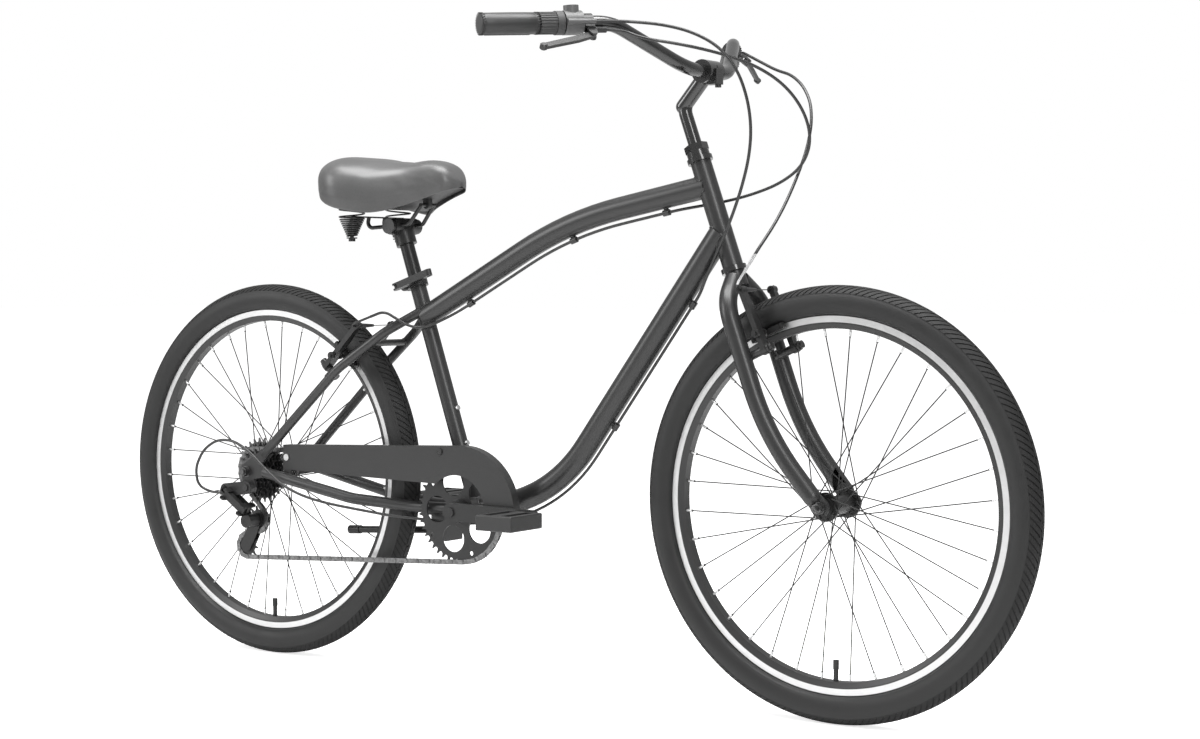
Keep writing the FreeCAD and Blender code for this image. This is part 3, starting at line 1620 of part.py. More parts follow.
def rear_brake_loop():
    first, last = adjuster_line(-1)
    way = unit(top_below[1] - top_below[2])
    return loop("rear_brake_loop", first, last, rear_brake_route, top_guides[0], way, 1)


def shift_loop():
    first, last = shifter_exit()
    way = unit(down_below[1] - down_below[2])
    return loop("shift_loop", first, last, shift_route, down_guides[0], way, -1)


def guided_cable(name, points, first_bend):
    """Housing that starts along a bent tube, so that its first bend follows the tube."""
    bends = cable_radii(points)
    bends[0] = first_bend
    path = rounded_path(points, bends)
    print(name, "least bend", round(min(bends), 1), "length", round(path.Length, 1))
    return swept(path, points[0], points[1] - points[0], cable_r)


def rear_brake_cable():
    """Housing along the underside of the top tube to the rear brake, with its noodle and boot."""
    link, start, way = brake_link(in_rear_brake, rear_noodle_shares)
    run = unit(top_below[0] - top_below[1])
    seat_side = on_seat(top_tube_seat_at) - LEFT * (seat_tube_r + seat_pass_out) - UP * seat_pass_drop
    points = [top_guides[0], top_below[1], top_guides[1] + run * (guide_length + cable_lead), seat_side,
              start + way * cable_lead, start + way * clear_gap]
    bend = top_tube_bend_r - top_tube_r - cable_drop
    return [guided_cable("rear_brake_cable", points, bend)] + link


def stop_point():
    """Middle of the cable stop on the derailleur's mount."""
    side = rear_lock_half + dropout_thickness + mount_thickness / 2
    return rear + V(-link_rear_behind - mount_r, -side, -link_rear_drop)


def shift_cable():
    """Housing along the down tube and the right chainstay, looping into the derailleur."""
    run = unit(down_below[0] - down_below[1])
    under_bb = bb + V(-bb_pass_behind, -bb_pass_side, -bb_shell_r - 2 * cable_r)
    points = [down_guides[0], down_below[1], foot_guides[0] + run * (guide_length + cable_lead), under_bb]
    points += route_points(rear, rear_shift_route)
    end = stop_point() - V(stop_length + clear_gap, 0, 0)
    points += [end - V(cable_lead, 0, 0), end]
    return [guided_cable("shift_cable", points, down_tube_bend_r + down_tube_r + cable_drop)]


# Derailleur


link_rear = rear + V(-link_rear_behind, 0, -link_rear_drop)
link_front = rear + V(link_front_ahead, 0, -link_front_drop)
link_way = unit(link_front - link_rear)
link_axis = V(-link_way.z, 0, link_way.x)


def link_ears(spot, sides):
    """Two plates that hold the link pins, with the pins."""
    parts = []
    low = LEFT * -(link_outer_at + link_ear_over)
    high = LEFT * -(link_inner_at - link_ear_over)
    for side in (1, -1):
        offset = link_axis * (side * (link_height / 2 + clear_gap))
        parts.append(strap(spot + low + offset, spot + high + offset, link_ear_r, link_ear_r,
                           link_axis * (side * link_ear)))
    reach = link_axis * (link_height / 2 + clear_gap + link_ear)
    for at in sides:
        parts.append(cylinder(spot - LEFT * at - reach, spot - LEFT * at + reach, link_pin_r))
    return parts


def derailleur_link(at):
    """One of the two parallel links."""
    half = link_axis * (link_height / 2)
    first = link_rear - LEFT * at
    last = link_front - LEFT * at
    link = strap(first - half, last - half, link_r, link_r, half * 2)
    holes = [bore(spot - half, spot + half, link_pin_r + running_gap) for spot in (first, last)]
    return link.cut(Part.makeCompound(holes))


def derailleur_mount():
    """Knuckle on the hanger with the rear link pins and the cable stop."""
    face = LEFT * -(rear_lock_half + dropout_thickness + clear_gap)
    far_end = link_rear + face - link_way * mount_r
    body = strap(hanger + face, far_end, mount_r, mount_r, LEFT * -mount_thickness)
    between_ears = link_axis * (link_height / 2 + clear_gap)
    middle = LEFT * -((link_outer_at + link_inner_at) / 2)
    room = strap(link_rear + middle - between_ears, link_front + middle - between_ears,
                 4 * link_r, 4 * link_r,
                 between_ears * 2)
    stop = stop_point()
    barrel = cylinder(stop - V(stop_length, 0, 0), stop + V(mount_r, 0, 0), stop_r)
    hole = bore(hanger + face, hanger + face - LEFT * mount_thickness, hanger_bolt_r + press_gap)
    body = fused([body, barrel]).cut(Part.makeCompound([room, hole]))
    return fused([body] + link_ears(link_rear, (link_outer_at, link_inner_at)))


def derailleur_knuckle():
    """Knuckle at the links' front ends with the cage's pivot barrel."""
    start = guide_centre - LEFT * knuckle_barrel_start
    end = guide_centre - LEFT * (cage_shaft_end + clear_gap)
    barrel = cylinder(start, end, knuckle_barrel_r)
    parts = link_ears(link_front, (link_outer_at,))
    lower = link_front - link_axis * (link_height / 2 + clear_gap + link_ear / 3 + link_r)
    web = strap(lower - LEFT * link_inner_at, guide_centre - LEFT * link_inner_at, link_r, link_r,
                LEFT * -link_r)
    return fused([barrel, web] + parts).cut(bore(start, end, cage_shaft_r + running_gap))


def derailleur_cage():
    """Two plates that carry the pulley bolts, with the pivot shaft."""
    inner = cage_inside_half
    parts = []
    for side in (1, -1):
        face = LEFT * (-chainline + side * inner)
        parts.append(strap(guide_centre + face, tension + face, cage_plate_r, cage_plate_r,
                           LEFT * (side * cage_plate)))
    for spot in (guide_centre, tension):
        start = spot - LEFT * (chainline + inner)
        parts.append(cylinder(start, start + LEFT * (2 * inner), pulley_bolt_r))
    parts.append(cylinder(guide_centre - LEFT * (chainline + inner), guide_centre - LEFT * cage_shaft_end,
                          cage_shaft_r))
    return fused(parts)


def pulley(centre, wheel_index):
    """Toothed jockey wheel on its bolt."""
    disc = toothed(centre, pulley_teeth, tooth_phase(wheel_index), -chainline, pulley_thickness)
    half = LEFT * (cage_inside_half - clear_gap)
    middle = centre - LEFT * chainline
    body = fused([disc, cylinder(middle - half, middle + half, pulley_hub_r)])
    return body.cut(bore(middle - half, middle + half, pulley_bolt_r + running_gap))


# Drive


def chainring():
    """Toothed ring with five round windows and five small holes."""
    disc = toothed(bb, chainring_teeth, tooth_phase(1), -chainline, chainring_thickness)
    inner = bb - LEFT * (chainline - chainring_thickness)
    outer = bb - LEFT * (chainline + chainring_thickness)
    holes = [bore(inner, outer, chainring_bore_r)]
    for index in range(chainring_windows):
        turn = 360.0 / chainring_windows * index
        window = heading(turn + 180.0 / chainring_windows) * chainring_window_at
        small = heading(turn) * chainring_hole_at
        holes.append(bore(inner + window, outer + window, chainring_window_r))
        holes.append(bore(inner + small, outer + small, chainring_hole_r))
    return disc.cut(Part.makeCompound(holes))


def crank_arm(side):
    """Crank arm on the axle's end; the right one has the spider that carries the chainring."""
    inner = crank_left_inner if side > 0 else crank_right_inner
    face = LEFT * (side * inner)
    pedal = bb - V(side * crank_length, 0, 0)
    arm = strap(bb + face, pedal + face, crank_r, crank_tip_r, LEFT * (side * crank_thickness))
    parts = [arm]
    if side < 0:
        ring_face = chainline + chainring_thickness / 2
        hub_end = chainline - chainring_thickness / 2
        parts.append(cylinder(bb - LEFT * hub_end, bb - LEFT * inner, chainring_bore_r - press_gap))
        parts.append(cylinder(bb - LEFT * ring_face, bb - LEFT * inner, crank_r + flange_lip))
    body = fused(parts)
    holes = [bore(bb, bb + face + LEFT * (side * crank_thickness), bb_axle_r + press_gap),
             bore(pedal + face, pedal + face + LEFT * (side * crank_thickness), pedal_axle_r + press_gap)]
    return body.cut(Part.makeCompound(holes))


def crank_axles():
    """Bottom-bracket axle and the two pedal axles."""
    left_end = crank_left_inner + crank_thickness - crank_cap_length
    right_end = crank_right_inner + crank_thickness - crank_cap_length
    solids = [cylinder(bb - LEFT * right_end, bb + LEFT * left_end, bb_axle_r)]
    for side in (1, -1):
        inner = crank_left_inner if side > 0 else crank_right_inner
        pedal = bb - V(side * crank_length, 0, 0)
        end = inner + crank_thickness + pedal_inner_gap + pedal_width - pedal_cheek / 2
        solids.append(cylinder(pedal + LEFT * (side * inner), pedal + LEFT * (side * end), pedal_axle_r))
        cap = side * (inner + crank_thickness - crank_cap_length)
        solids.append(cylinder(bb + LEFT * cap, bb + LEFT * (cap + side * 2 * crank_cap_length), bb_axle_r))
    return solids


def pedal(side):
    """Platform pedal on its axle, with a reflector at the front and at the back."""
    inner = (crank_left_inner if side > 0 else crank_right_inner) + crank_thickness + pedal_inner_gap
    start = bb - V(side * crank_length, 0, 0) + LEFT * (side * inner)
    end = start + LEFT * (side * pedal_width)
    middle = between(start, end, 0.5)
    body = block(middle, pedal_length, pedal_width, pedal_height)
    body = body.makeFillet(pedal_rail / 4, body.Edges)
    window_x = pedal_length / 2 - pedal_rail - pedal_barrel_r
    window_y = pedal_width - 2 * pedal_cheek
    cutters = []
    for way in (1, -1):
        centre = middle + V(way * (pedal_barrel_r + window_x / 2), 0, 0)
        cutters.append(block(centre, window_x, window_y, 2 * pedal_height))
    cutters.append(bore(start, end - LEFT * (side * pedal_cheek / 2), pedal_axle_r + running_gap))
    reflectors = []
    for way in (1, -1):
        face = middle + V(way * (pedal_length / 2 - pedal_reflector_depth / 2), 0, 0)
        reflectors.append(block(face, pedal_reflector_depth, pedal_reflector_width, pedal_reflector_height))
    slotted = body.cut(Part.makeCompound(cutters)).cut(Part.makeCompound(reflectors))
    return [slotted] + reflectors


# Chain guard


def guard_outline(grow):
    """Edge of the guard plate: a band that swells into a hook round the chainring."""
    centre = guard_centre
    outer_r = guard_outer_r + grow
    top_rear = rear + V(guard_rear_ahead, 0, guard_rear_above + grow)
    low_rear = rear + V(guard_rear_ahead, 0, guard_rear_above - guard_rear_height)
    reach = top_rear - centre
    tangent_deg = math.degrees(math.atan2(reach.z, reach.x) - math.acos(outer_r / reach.Length))
    top_front = centre + heading(tangent_deg) * outer_r
    end_deg = -math.degrees(math.asin(guard_end_drop / outer_r))
    nose = centre + heading(end_deg) * outer_r
    nose_mid = centre + heading((tangent_deg + end_deg) / 2) * outer_r
    inner_end = bb + heading(end_deg) * guard_inner_r
    low_meet_deg = 180 - math.degrees(math.asin((low_rear.z - bb.z) / guard_inner_r * guard_meet_share))
    inner_start = bb + heading(low_meet_deg) * guard_inner_r
    inner_mid = bb + heading((low_meet_deg + end_deg) / 2) * guard_inner_r
    return [
        Part.makeLine(top_rear, top_front),
        Part.Arc(top_front, nose_mid, nose).toShape(),
        Part.makeLine(nose, inner_end),
        Part.Arc(inner_end, inner_mid, inner_start).toShape(),
        Part.makeLine(inner_start, low_rear),
        Part.makeLine(low_rear, top_rear),
    ]


def chain_guard():
    """Pressed plate beside the chain with a lip folded in over it."""
    plate = Part.Face(Part.Wire(guard_outline(0))).extrude(LEFT * -guard_thickness)
    skirt = Part.Face(Part.Wire(guard_outline(0))).extrude(LEFT * guard_lip)
    inner = Part.Face(Part.Wire(guard_outline(-guard_thickness))).extrude(LEFT * guard_lip)
    skirt = skirt.cut(inner)
    lips = [solid for solid in skirt.Solids if solid.BoundBox.ZMax > plate.BoundBox.ZMax - guard_thickness]
    guard = fused([plate] + lips)
    guard.translate(LEFT * -guard_at)
    hole = bore(guard_rear_bolt - LEFT * guard_at, guard_rear_bolt - LEFT * (guard_at + guard_thickness),
                guard_bolt_r + press_gap)
    post_hole = bore(guard_post - LEFT * guard_at, guard_post - LEFT * (guard_at + guard_thickness),
                     guard_bolt_r + press_gap)
    return guard.cut(Part.makeCompound([hole, post_hole]))


# Kickstand


kickstand_lean = math.radians(kickstand_axis_deg)
kickstand_axis = V(0, -math.cos(kickstand_lean), -math.sin(kickstand_lean))
kickstand_pivot = kickstand_mount + V(0, kickstand_pivot_left, -kickstand_pivot_drop)


def kickstand_bracket():
    """Block bolted under the frame's plate, with the leg's pin."""
    top = kickstand_mount - UP * (kickstand_plate_thickness / 2)
    centre = top + V(0, kickstand_block_shift, -kickstand_block_height / 2)
    body = block(centre, kickstand_block_length, kickstand_block_width, kickstand_block_height)
    pin = cylinder(kickstand_pivot + kickstand_axis * kickstand_block_width / 2,
                   kickstand_pivot - kickstand_axis * kickstand_eye_width, kickstand_pin_r)
    hole = bore(top - UP * (kickstand_block_height / 2), top, kickstand_bolt_r + press_gap)
    return fused([body.cut(hole), pin])


def kickstand_leg():
    """Leg with its eye on the pin, folded back along the wheel."""
    folded = math.radians(kickstand_rest_deg)
    back = V(-1, 0, 0)
    way = back * math.cos(folded) + kickstand_axis.cross(back) * math.sin(folded)
    half = kickstand_axis * (kickstand_eye_width / 2)
    end = kickstand_pivot + way * kickstand_length
    parts = [
        cylinder(kickstand_pivot - half, kickstand_pivot + half, kickstand_eye_r),
        cylinder(kickstand_pivot, end, kickstand_leg_r),
        cylinder(end - way * kickstand_foot_length, end, kickstand_foot_r),
    ]
    hole = bore(kickstand_pivot - half, kickstand_pivot + half, kickstand_pin_r + running_gap)
    return fused(parts).cut(hole)


# Seat


collar_r = seat_tube_r + press_gap + seat_collar_thickness
collar_low = seat_collar_top_at - seat_collar_height
collar_middle = on_seat(seat_collar_top_at - seat_collar_height / 2)
skewer = collar_middle - seat_ahead * collar_ear_back


def seat_collar():
    """Split collar on the seat tube, with its skewer and nut."""
    body = cylinder(on_seat(collar_low), on_seat(seat_collar_top_at), collar_r)
    ear = LEFT * collar_ear_half
    ears = strap(collar_middle - ear, skewer - ear, collar_ear_r, collar_ear_r, ear * 2)
    body = fused([body, ears])
    tube_hole = cylinder(on_seat(collar_low - cut_over), on_seat(seat_tube_length), seat_tube_r + press_gap)
    post_hole = bore(on_seat(collar_low), on_seat(seat_collar_top_at), seat_bore_r)
    slit = block(skewer, 2 * collar_ear_back, seat_slit, 2 * collar_ear_back)
    pin_hole = bore(skewer - LEFT * collar_ear_half, skewer + LEFT * collar_ear_half, skewer_r + press_gap)
    body = body.cut(Part.makeCompound([tube_hole, post_hole, slit, pin_hole]))
    rod = cylinder(skewer - LEFT * skewer_half, skewer + LEFT * skewer_half, skewer_r)
    nut_start = skewer + LEFT * collar_ear_half
    nut = ring(nut_start, nut_start + LEFT * skewer_nut_length, skewer_nut_r, skewer_r + press_gap)
    pin_half = seat_up * (seat_lever_thickness / 2)
    rod_end = skewer - LEFT * skewer_half
    eye = cylinder(rod_end - pin_half, rod_end + pin_half, seat_lever_pin_r)
    return [body, fused([rod, eye]), nut]


def seat_collar_lever():
    """Cam lever on the skewer's end that turns about an axis along the seat tube."""
    pivot = skewer - LEFT * skewer_half
    half = seat_up * (seat_lever_thickness / 2)
    tip = pivot + seat_ahead * seat_lever_length
    arm = strap(pivot - half, tip - half, seat_lever_r, seat_lever_tip_r, half * 2)
    rod_half = seat_up * (skewer_r + clear_gap)
    slot = cylinder(pivot - rod_half, pivot + rod_half, seat_lever_slot_r)
    hole = bore(pivot - half, pivot + half, seat_lever_pin_r + running_gap)
    eye = bore(tip - half, tip + half, seat_lever_eye_r)
    return arm.cut(Part.makeCompound([slot, hole, eye]))


def seat_post():
    """Tube that slides in the seat tube and carries the saddle clamp."""
    post = cylinder(on_seat(seat_post_low_at), on_seat(seat_post_top_at), seat_post_r)
    return post.cut(bore(on_seat(seat_post_low_at), on_seat(seat_post_top_at), seat_post_r - seat_post_wall))


saddle_corner = rear + V(saddle_ahead, 0, saddle_above)


def saddle_rows():
    """Place, half width, top and lower edge of each saddle section."""
    rows = zip(saddle_place_shares, saddle_width_shares, saddle_top_shares, saddle_low_shares)
    return [(saddle_corner + V(saddle_length * place, 0, 0), saddle_half * wide,
             saddle_depth * top, saddle_depth * low) for place, wide, top, low in rows]


def saddle_low(ahead):
    """Height of the recessed underside above the saddle's lowest level, at a distance from its back."""
    rows = [(spot.x - saddle_corner.x, low) for spot, half, top, low in saddle_rows()]
    for (first, first_low), (last, last_low) in zip(rows, rows[1:]):
        if ahead <= last:
            break
    return first_low + (last_low - first_low) * (ahead - first) / (last - first) + saddle_recess


def saddle_section(spot, half, top, low):
    """Crowned section with drawn-in sides, a hem and a recessed underside."""
    deep = top - low

    def at(share, height):
        return spot + V(0, half * share, height)

    shoulder = top - deep * saddle_crown_drop_share
    bulge = top - deep * saddle_bulge_drop_share
    crown = saddle_crown_share
    hem = saddle_hem_share
    inner = saddle_recess_share
    roof = low + saddle_recess
    return Part.Wire([
        Part.Arc(at(-crown, shoulder), at(0, top), at(crown, shoulder)).toShape(),
        Part.Arc(at(crown, shoulder), at(1, bulge), at(hem, low)).toShape(),
        Part.makeLine(at(hem, low), at(inner, low)),
        Part.makeLine(at(inner, low), at(inner, roof)),
        Part.makeLine(at(inner, roof), at(-inner, roof)),
        Part.makeLine(at(-inner, roof), at(-inner, low)),
        Part.makeLine(at(-inner, low), at(-hem, low)),
        Part.Arc(at(-hem, low), at(-1, bulge), at(-crown, shoulder)).toShape(),
    ])


def saddle_cushion():
    """Padded saddle top, lofted through its sections."""
    return Part.makeLoft([saddle_section(*row) for row in saddle_rows()], True, False)


saddle_pivot_ahead = saddle_length * saddle_pivot_share
saddle_pivot = saddle_corner + V(saddle_pivot_ahead, 0, saddle_low(saddle_pivot_ahead) - saddle_base_thickness
                                 - saddle_pivot_drop)


def saddle_base():
    """Stiff pan in the cushion's recess, with the lug of the nose hinge."""
    wires = []
    for spot, half, top, low in saddle_rows():
        wide = half * saddle_recess_share - clear_gap
        roof = low + saddle_recess - clear_gap
        floor = roof - saddle_base_thickness
        corners = [spot + V(0, y, z) for y, z in ((wide, roof), (-wide, roof), (-wide, floor), (wide, floor))]
        wires.append(Part.makePolygon(corners + corners[:1]))
    middle = saddle_corner + V(saddle_length / 2, 0, saddle_depth / 2)
    room = block(middle, saddle_length - 2 * saddle_base_trim, 2 * saddle_half, 2 * saddle_depth)
    pan = Part.makeLoft(wires, True, False).common(room)
    side = LEFT * saddle_lug_half
    low = saddle_pivot - side
    lug = strap(low, low + UP * saddle_pivot_drop, saddle_lug_r, saddle_lug_r, side * 2)
    lug = lug.cut(saddle_cushion_floor())
    return fused([pan, lug]).cut(bore(saddle_pivot - side, saddle_pivot + side, rail_r + running_gap))


def saddle_cushion_floor():
    """Cutter that keeps the hinge lug below the pan's top."""
    wires = []
    for spot, half, top, low in saddle_rows():
        floor = low + saddle_recess - clear_gap - saddle_base_thickness / 2
        corners = [spot + V(0, y, z) for y, z in ((half, floor), (half, top), (-half, top), (-half, floor))]
        wires.append(Part.makePolygon(corners + corners[:1]))
    return Part.makeLoft(wires, True, True)


def spring_base_low():
    """Level of the pan over the end of a spring's top turn."""
    reach = spring_ahead - saddle_ahead + 2 * spring_wire_r
    return saddle_corner.z + saddle_low(reach) - clear_gap - saddle_base_thickness


spring_rise = spring_turns * spring_pitch + spring_open_turns * spring_open_pitch
spring_foot_z = spring_base_low() - 4 * clear_gap - spring_wire_r - spring_rise
strip_z = spring_foot_z + spring_turns * spring_pitch + (spring_open_pitch - spring_pitch) / 4


def spring_point(turns):
    """Point and travel direction of the coil after a number of turns."""
    share = min(turns / spring_turns, 1)
    radius = spring_foot_r + (spring_top_r - spring_foot_r) * share
    growth = (spring_top_r - spring_foot_r) / spring_turns if turns < spring_turns else 0
    height = spring_pitch * min(turns, spring_turns) + spring_open_pitch * max(turns - spring_turns, 0)
    climb = spring_pitch if turns < spring_turns else spring_open_pitch
    angle = 2 * math.pi * turns + math.pi / 2
    out = V(math.cos(angle), math.sin(angle), 0)
    along = V(-math.sin(angle), math.cos(angle), 0)
    spot = V(rear.x + spring_ahead, spring_half, spring_foot_z + height) + out * radius
    return spot, unit(along * (2 * math.pi * radius) + out * growth + UP * climb)


def biarc(first, first_way, last, last_way):
    """Two tangent arcs between two points with given directions."""
    gap = last - first
    ways = first_way + last_way
    bend = 2 * (1 - first_way.dot(last_way))
    lean = gap.dot(ways)
    reach = (math.sqrt(lean ** 2 + bend * gap.dot(gap)) - lean) / bend
    first_corner = first + first_way * reach
    last_corner = last - last_way * reach
    joint = (first_corner + last_corner) * 0.5
    return [corner_arc(first, first_corner, joint), corner_arc(joint, last_corner, last)]


def saddle_spring():
    """Left saddle spring: a close-wound cone under one and a half open turns."""
    quarters = int(4 * (spring_turns + spring_open_turns))
    knots = [spring_point(index / 4) for index in range(quarters + 1)]
    first, first_way = knots[0]
    last, last_way = knots[-1]
    edges = [Part.makeLine(first - first_way * (2 * spring_wire_r), first)]
    for (spot, way), (next_spot, next_way) in zip(knots, knots[1:]):
        edges += biarc(spot, way, next_spot, next_way)
    edges.append(Part.makeLine(last, last + last_way * (2 * spring_wire_r)))
    path = Part.Wire(edges)
    solid = swept(path, first - first_way * (2 * spring_wire_r), first_way, spring_wire_r)
    points = [point for edge in edges for point in edge.discretize(9)]
    apart = [(a - b).Length for index, a in enumerate(points) for b in points[index + 60:]]
    print("spring self gap", round(min(apart) - 2 * spring_wire_r, 2), "solid", solid.isValid(),
          round(solid.Volume / (math.pi * spring_wire_r ** 2 * path.Length), 3))
    return solid


def rail_low_points(side):
    """Front and rear corners of one rail's straight low run."""
    front_x = saddle_corner.x + saddle_length * rail_front_share
    rear_x = saddle_corner.x + saddle_length * rail_rear_share
    level = rear.z + rail_above
    return (V(front_x, side * (rail_front_half + rail_half) / 2, level + rail_tilt / 2),
            V(rear_x, side * rail_half, level - rail_tilt / 2))


def saddle_rails():
    """Two rails with the hinge pin at the nose and the strip and bolts under the springs."""
    bars = [cylinder(saddle_pivot - LEFT * saddle_pin_half, saddle_pivot + LEFT * saddle_pin_half, rail_r)]
    strip_x = rear.x + spring_ahead
    for side in (1, -1):
        front_low, rear_low = rail_low_points(side)
        top = V(strip_x + strip_width / 3, side * rail_half, strip_z)
        points = [saddle_pivot + LEFT * (side * rail_front_half), front_low, rear_low, top]
        bars.append(bent_bar(points, [rail_bend_r, rail_bend_r], rail_r))
        bolt = V(strip_x, side * spring_half, strip_z)
        washer_top = V(bolt.x, bolt.y, spring_foot_z - spring_wire_r - 2 * clear_gap)
        washer_low = washer_top - UP * spring_washer_thickness
        bars.append(cylinder(washer_low, bolt, spring_bolt_r))
        bars.append(cylinder(washer_low, washer_top, spring_washer_r))
        bars.append(cylinder(washer_low - UP * spring_bolt_head, washer_low, spring_bolt_head_r))
    bars.append(block(V(strip_x, 0, strip_z), strip_width, 2 * (spring_half + strip_end), strip_thickness))
    return fused(bars)


def saddle_clamp():
    """Clamp on the seat post that grips the rails, with its serrated bolt heads."""
    centre = V(rear.x + saddle_clamp_ahead, 0, rear.z + rail_above)
    side = LEFT * saddle_clamp_half
    barrel = cylinder(centre - side, centre + side, saddle_clamp_r)
    socket = cylinder(on_seat(saddle_socket_low_at), on_seat(seat_post_top_at), saddle_socket_r)
    post_hole = cylinder(on_seat(saddle_socket_low_at - cut_over), on_seat(seat_post_top_at + clear_gap),
                         seat_post_r + press_gap)
    rail_holes = []
    for way in (1, -1):
        front_low, rear_low = rail_low_points(way)
        rail_holes.append(bore(front_low, rear_low, rail_r + press_gap))
    heads = []
    for way in (1, -1):
        start = centre + side * way
        heads.append(cylinder(start, start + LEFT * (way * saddle_bolt_head), saddle_bolt_head_r))
    return fused([barrel, socket] + heads).cut(Part.makeCompound([post_hole] + rail_holes))


# Bolts


def bolt(face, way, shank_r, shank, head_r, head):
    """Bolt with its head on the face and its shank driven in."""
    pin = cylinder(face, face + unit(way) * shank, shank_r)
    cap = cylinder(face, face - unit(way) * head, head_r)
    return fused([pin, cap])


def frame_bolts():
    """Guard, hanger, bottle, kickstand and rear brake bolts."""
    solids = brake_bolts(in_rear_brake)
    for spot in (guard_rear_bolt, guard_post):
        face = spot - LEFT * (guard_at + guard_thickness)
        solids.append(bolt(face, LEFT, guard_bolt_r, guard_thickness + guard_tab_thickness, guard_bolt_head_r,
                           guard_bolt_head))
    outer = rear_lock_half + dropout_thickness + clear_gap + mount_thickness
    solids.append(bolt(hanger - LEFT * outer, LEFT, hanger_bolt_r, outer - rear_lock_half, hanger_bolt_head_r,
                       guard_bolt_head))
    for index in range(2):
        spot = on_seat(bottle_bolt_low_at + index * bottle_bolt_pitch) + seat_ahead * seat_tube_r
        solids.append(bolt(spot, seat_ahead * -1, bottle_bolt_r, seat_tube_wall, bottle_bolt_head_r,
                           bottle_bolt_head))
    top = kickstand_mount + UP * (kickstand_plate_thickness / 2)
    solids.append(bolt(top, UP * -1, kickstand_bolt_r, kickstand_plate_thickness + kickstand_block_height / 2,
                       kickstand_bolt_head_r, kickstand_bolt_head))
    return solids


def stem_bolt_face():
    """Lower face of the stem clamp's ear, at its bolt."""
    way = unit(bar_clamp - on_head(stem_bend_at))
    front_way = V(way.z, 0, -way.x)
    ear_centre = bar_clamp + front_way * (stem_bolt_drop / 2)
    spot = bar_clamp + front_way * stem_bolt_drop
    return V(spot.x, spot.y, ear_centre.z - stem_bolt_drop / 2)


def fork_bolts():
    """Front brake bolts and the stem clamp's bolt."""
    solids = brake_bolts(in_front_brake)
    solids.append(bolt(stem_bolt_face(), UP, stem_bolt_r, stem_bolt_drop, stem_bolt_head_r, stem_bolt_head_r))
    return solids


parts = {}
parts["frame"] = [frame()]
parts["bearing_cups"] = bearing_cups()
parts["fork"] = [fork()]
parts["headset_races"] = headset_races()
parts["stem"] = stem()
parts["handlebar"] = [handlebar()]
parts["handlebar_grips"] = [grip(side) for side in (1, -1)]
parts["shifter_twist"] = [twist_grip()]
parts["shifter_body"] = [shifter_body()]
parts["brake_lever_brackets"] = [lever_bracket(side) for side in (1, -1)]
parts["brake_lever_left"] = [brake_lever(1)]
parts["brake_lever_right"] = [brake_lever(-1)]
for end, centre in (("front", front), ("rear", rear)):
    parts[end + "_rim"] = [rim(centre)]
    parts[end + "_tyre"] = [tyre(centre)]
    parts[end + "_inner_tube"] = [inner_tube(centre)]
parts["front_hub"] = [front_hub()]
parts["rear_hub"] = [rear_hub()]
parts["front_spokes"] = hub_spokes(front, ((1, front_flange_half), (-1, -front_flange_half)), front_flange_r)
parts["rear_spokes"] = hub_spokes(rear, ((1, rear_left_flange), (-1, -rear_right_flange)), rear_flange_r)
parts["spoke_guard"] = [spoke_guard()]
parts["freewheel"] = [freewheel()]
parts["front_axle"] = axle_set(front, front_axle_r, front_axle_half, front_lock_half,
                               (front_hub_half - cone_seat_length + clear_gap,) * 2, dropout_thickness)
parts["rear_axle"] = axle_set(rear, rear_axle_r, rear_axle_half, rear_lock_half,
                              (rear_left_end - cone_seat_length + clear_gap,
                               freewheel_seat_end - cone_seat_length + clear_gap), dropout_thickness)
parts["chain"] = chain()
parts["chainring"] = [chainring()]
parts["crank_arms"] = [crank_arm(side) for side in (1, -1)]
parts["crank_axles"] = crank_axles()
parts["pedal_left"] = pedal(1)
parts["pedal_right"] = pedal(-1)
parts["chain_guard"] = [chain_guard()]
parts["kickstand_bracket"] = [kickstand_bracket()]
parts["kickstand_leg"] = [kickstand_leg()]
for end, place in (("front", in_front_brake), ("rear", in_rear_brake)):
    parts[end + "_brake_arm_left"] = brake_arm(place, 1)
    parts[end + "_brake_arm_right"] = brake_arm(place, -1)
parts["derailleur_mount"] = [derailleur_mount()]
parts["derailleur_outer_link"] = [derailleur_link(link_outer_at)]
parts["derailleur_inner_link"] = [derailleur_link(link_inner_at)]
parts["derailleur_knuckle"] = [derailleur_knuckle()]
parts["derailleur_cage"] = [derailleur_cage()]
parts["guide_pulley"] = [pulley(guide_centre, 3)]
parts["tension_pulley"] = [pulley(tension, 2)]
parts["front_brake_cable"] = front_brake_cable()
parts["rear_brake_cable"] = rear_brake_cable()
parts["rear_brake_loop"] = rear_brake_loop()
parts["shift_cable"] = shift_cable()
parts["shift_loop"] = shift_loop()
parts["seat_collar"] = seat_collar()
parts["seat_post"] = [seat_post()]
parts["seat_collar_lever"] = [seat_collar_lever()]
parts["saddle_rails"] = [saddle_rails(), saddle_clamp()]
spring = saddle_spring()
parts["saddle_springs"] = [spring, mirrored(spring)]
parts["saddle_base"] = [saddle_base()]
parts["saddle_cushion"] = [saddle_cushion()]
parts["frame_bolts"] = frame_bolts()
parts["fork_bolts"] = fork_bolts()

os.makedirs("parts", exist_ok=True)
for name, solids in parts.items():
    shape = Part.makeCompound(solids) if len(solids) > 1 else solids[0]
    bad = [solid for solid in solids if not solid.isValid() or len(solid.Solids) != 1]
    if bad:
        print("CHECK", name, len(bad), [len(solid.Solids) for solid in bad])
    shape.exportStep("parts/" + name + ".step")
print("nodes", len(parts), "cage", round(cage_deg, 1))
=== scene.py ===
import math
import bpy
from mathutils import Matrix, Vector


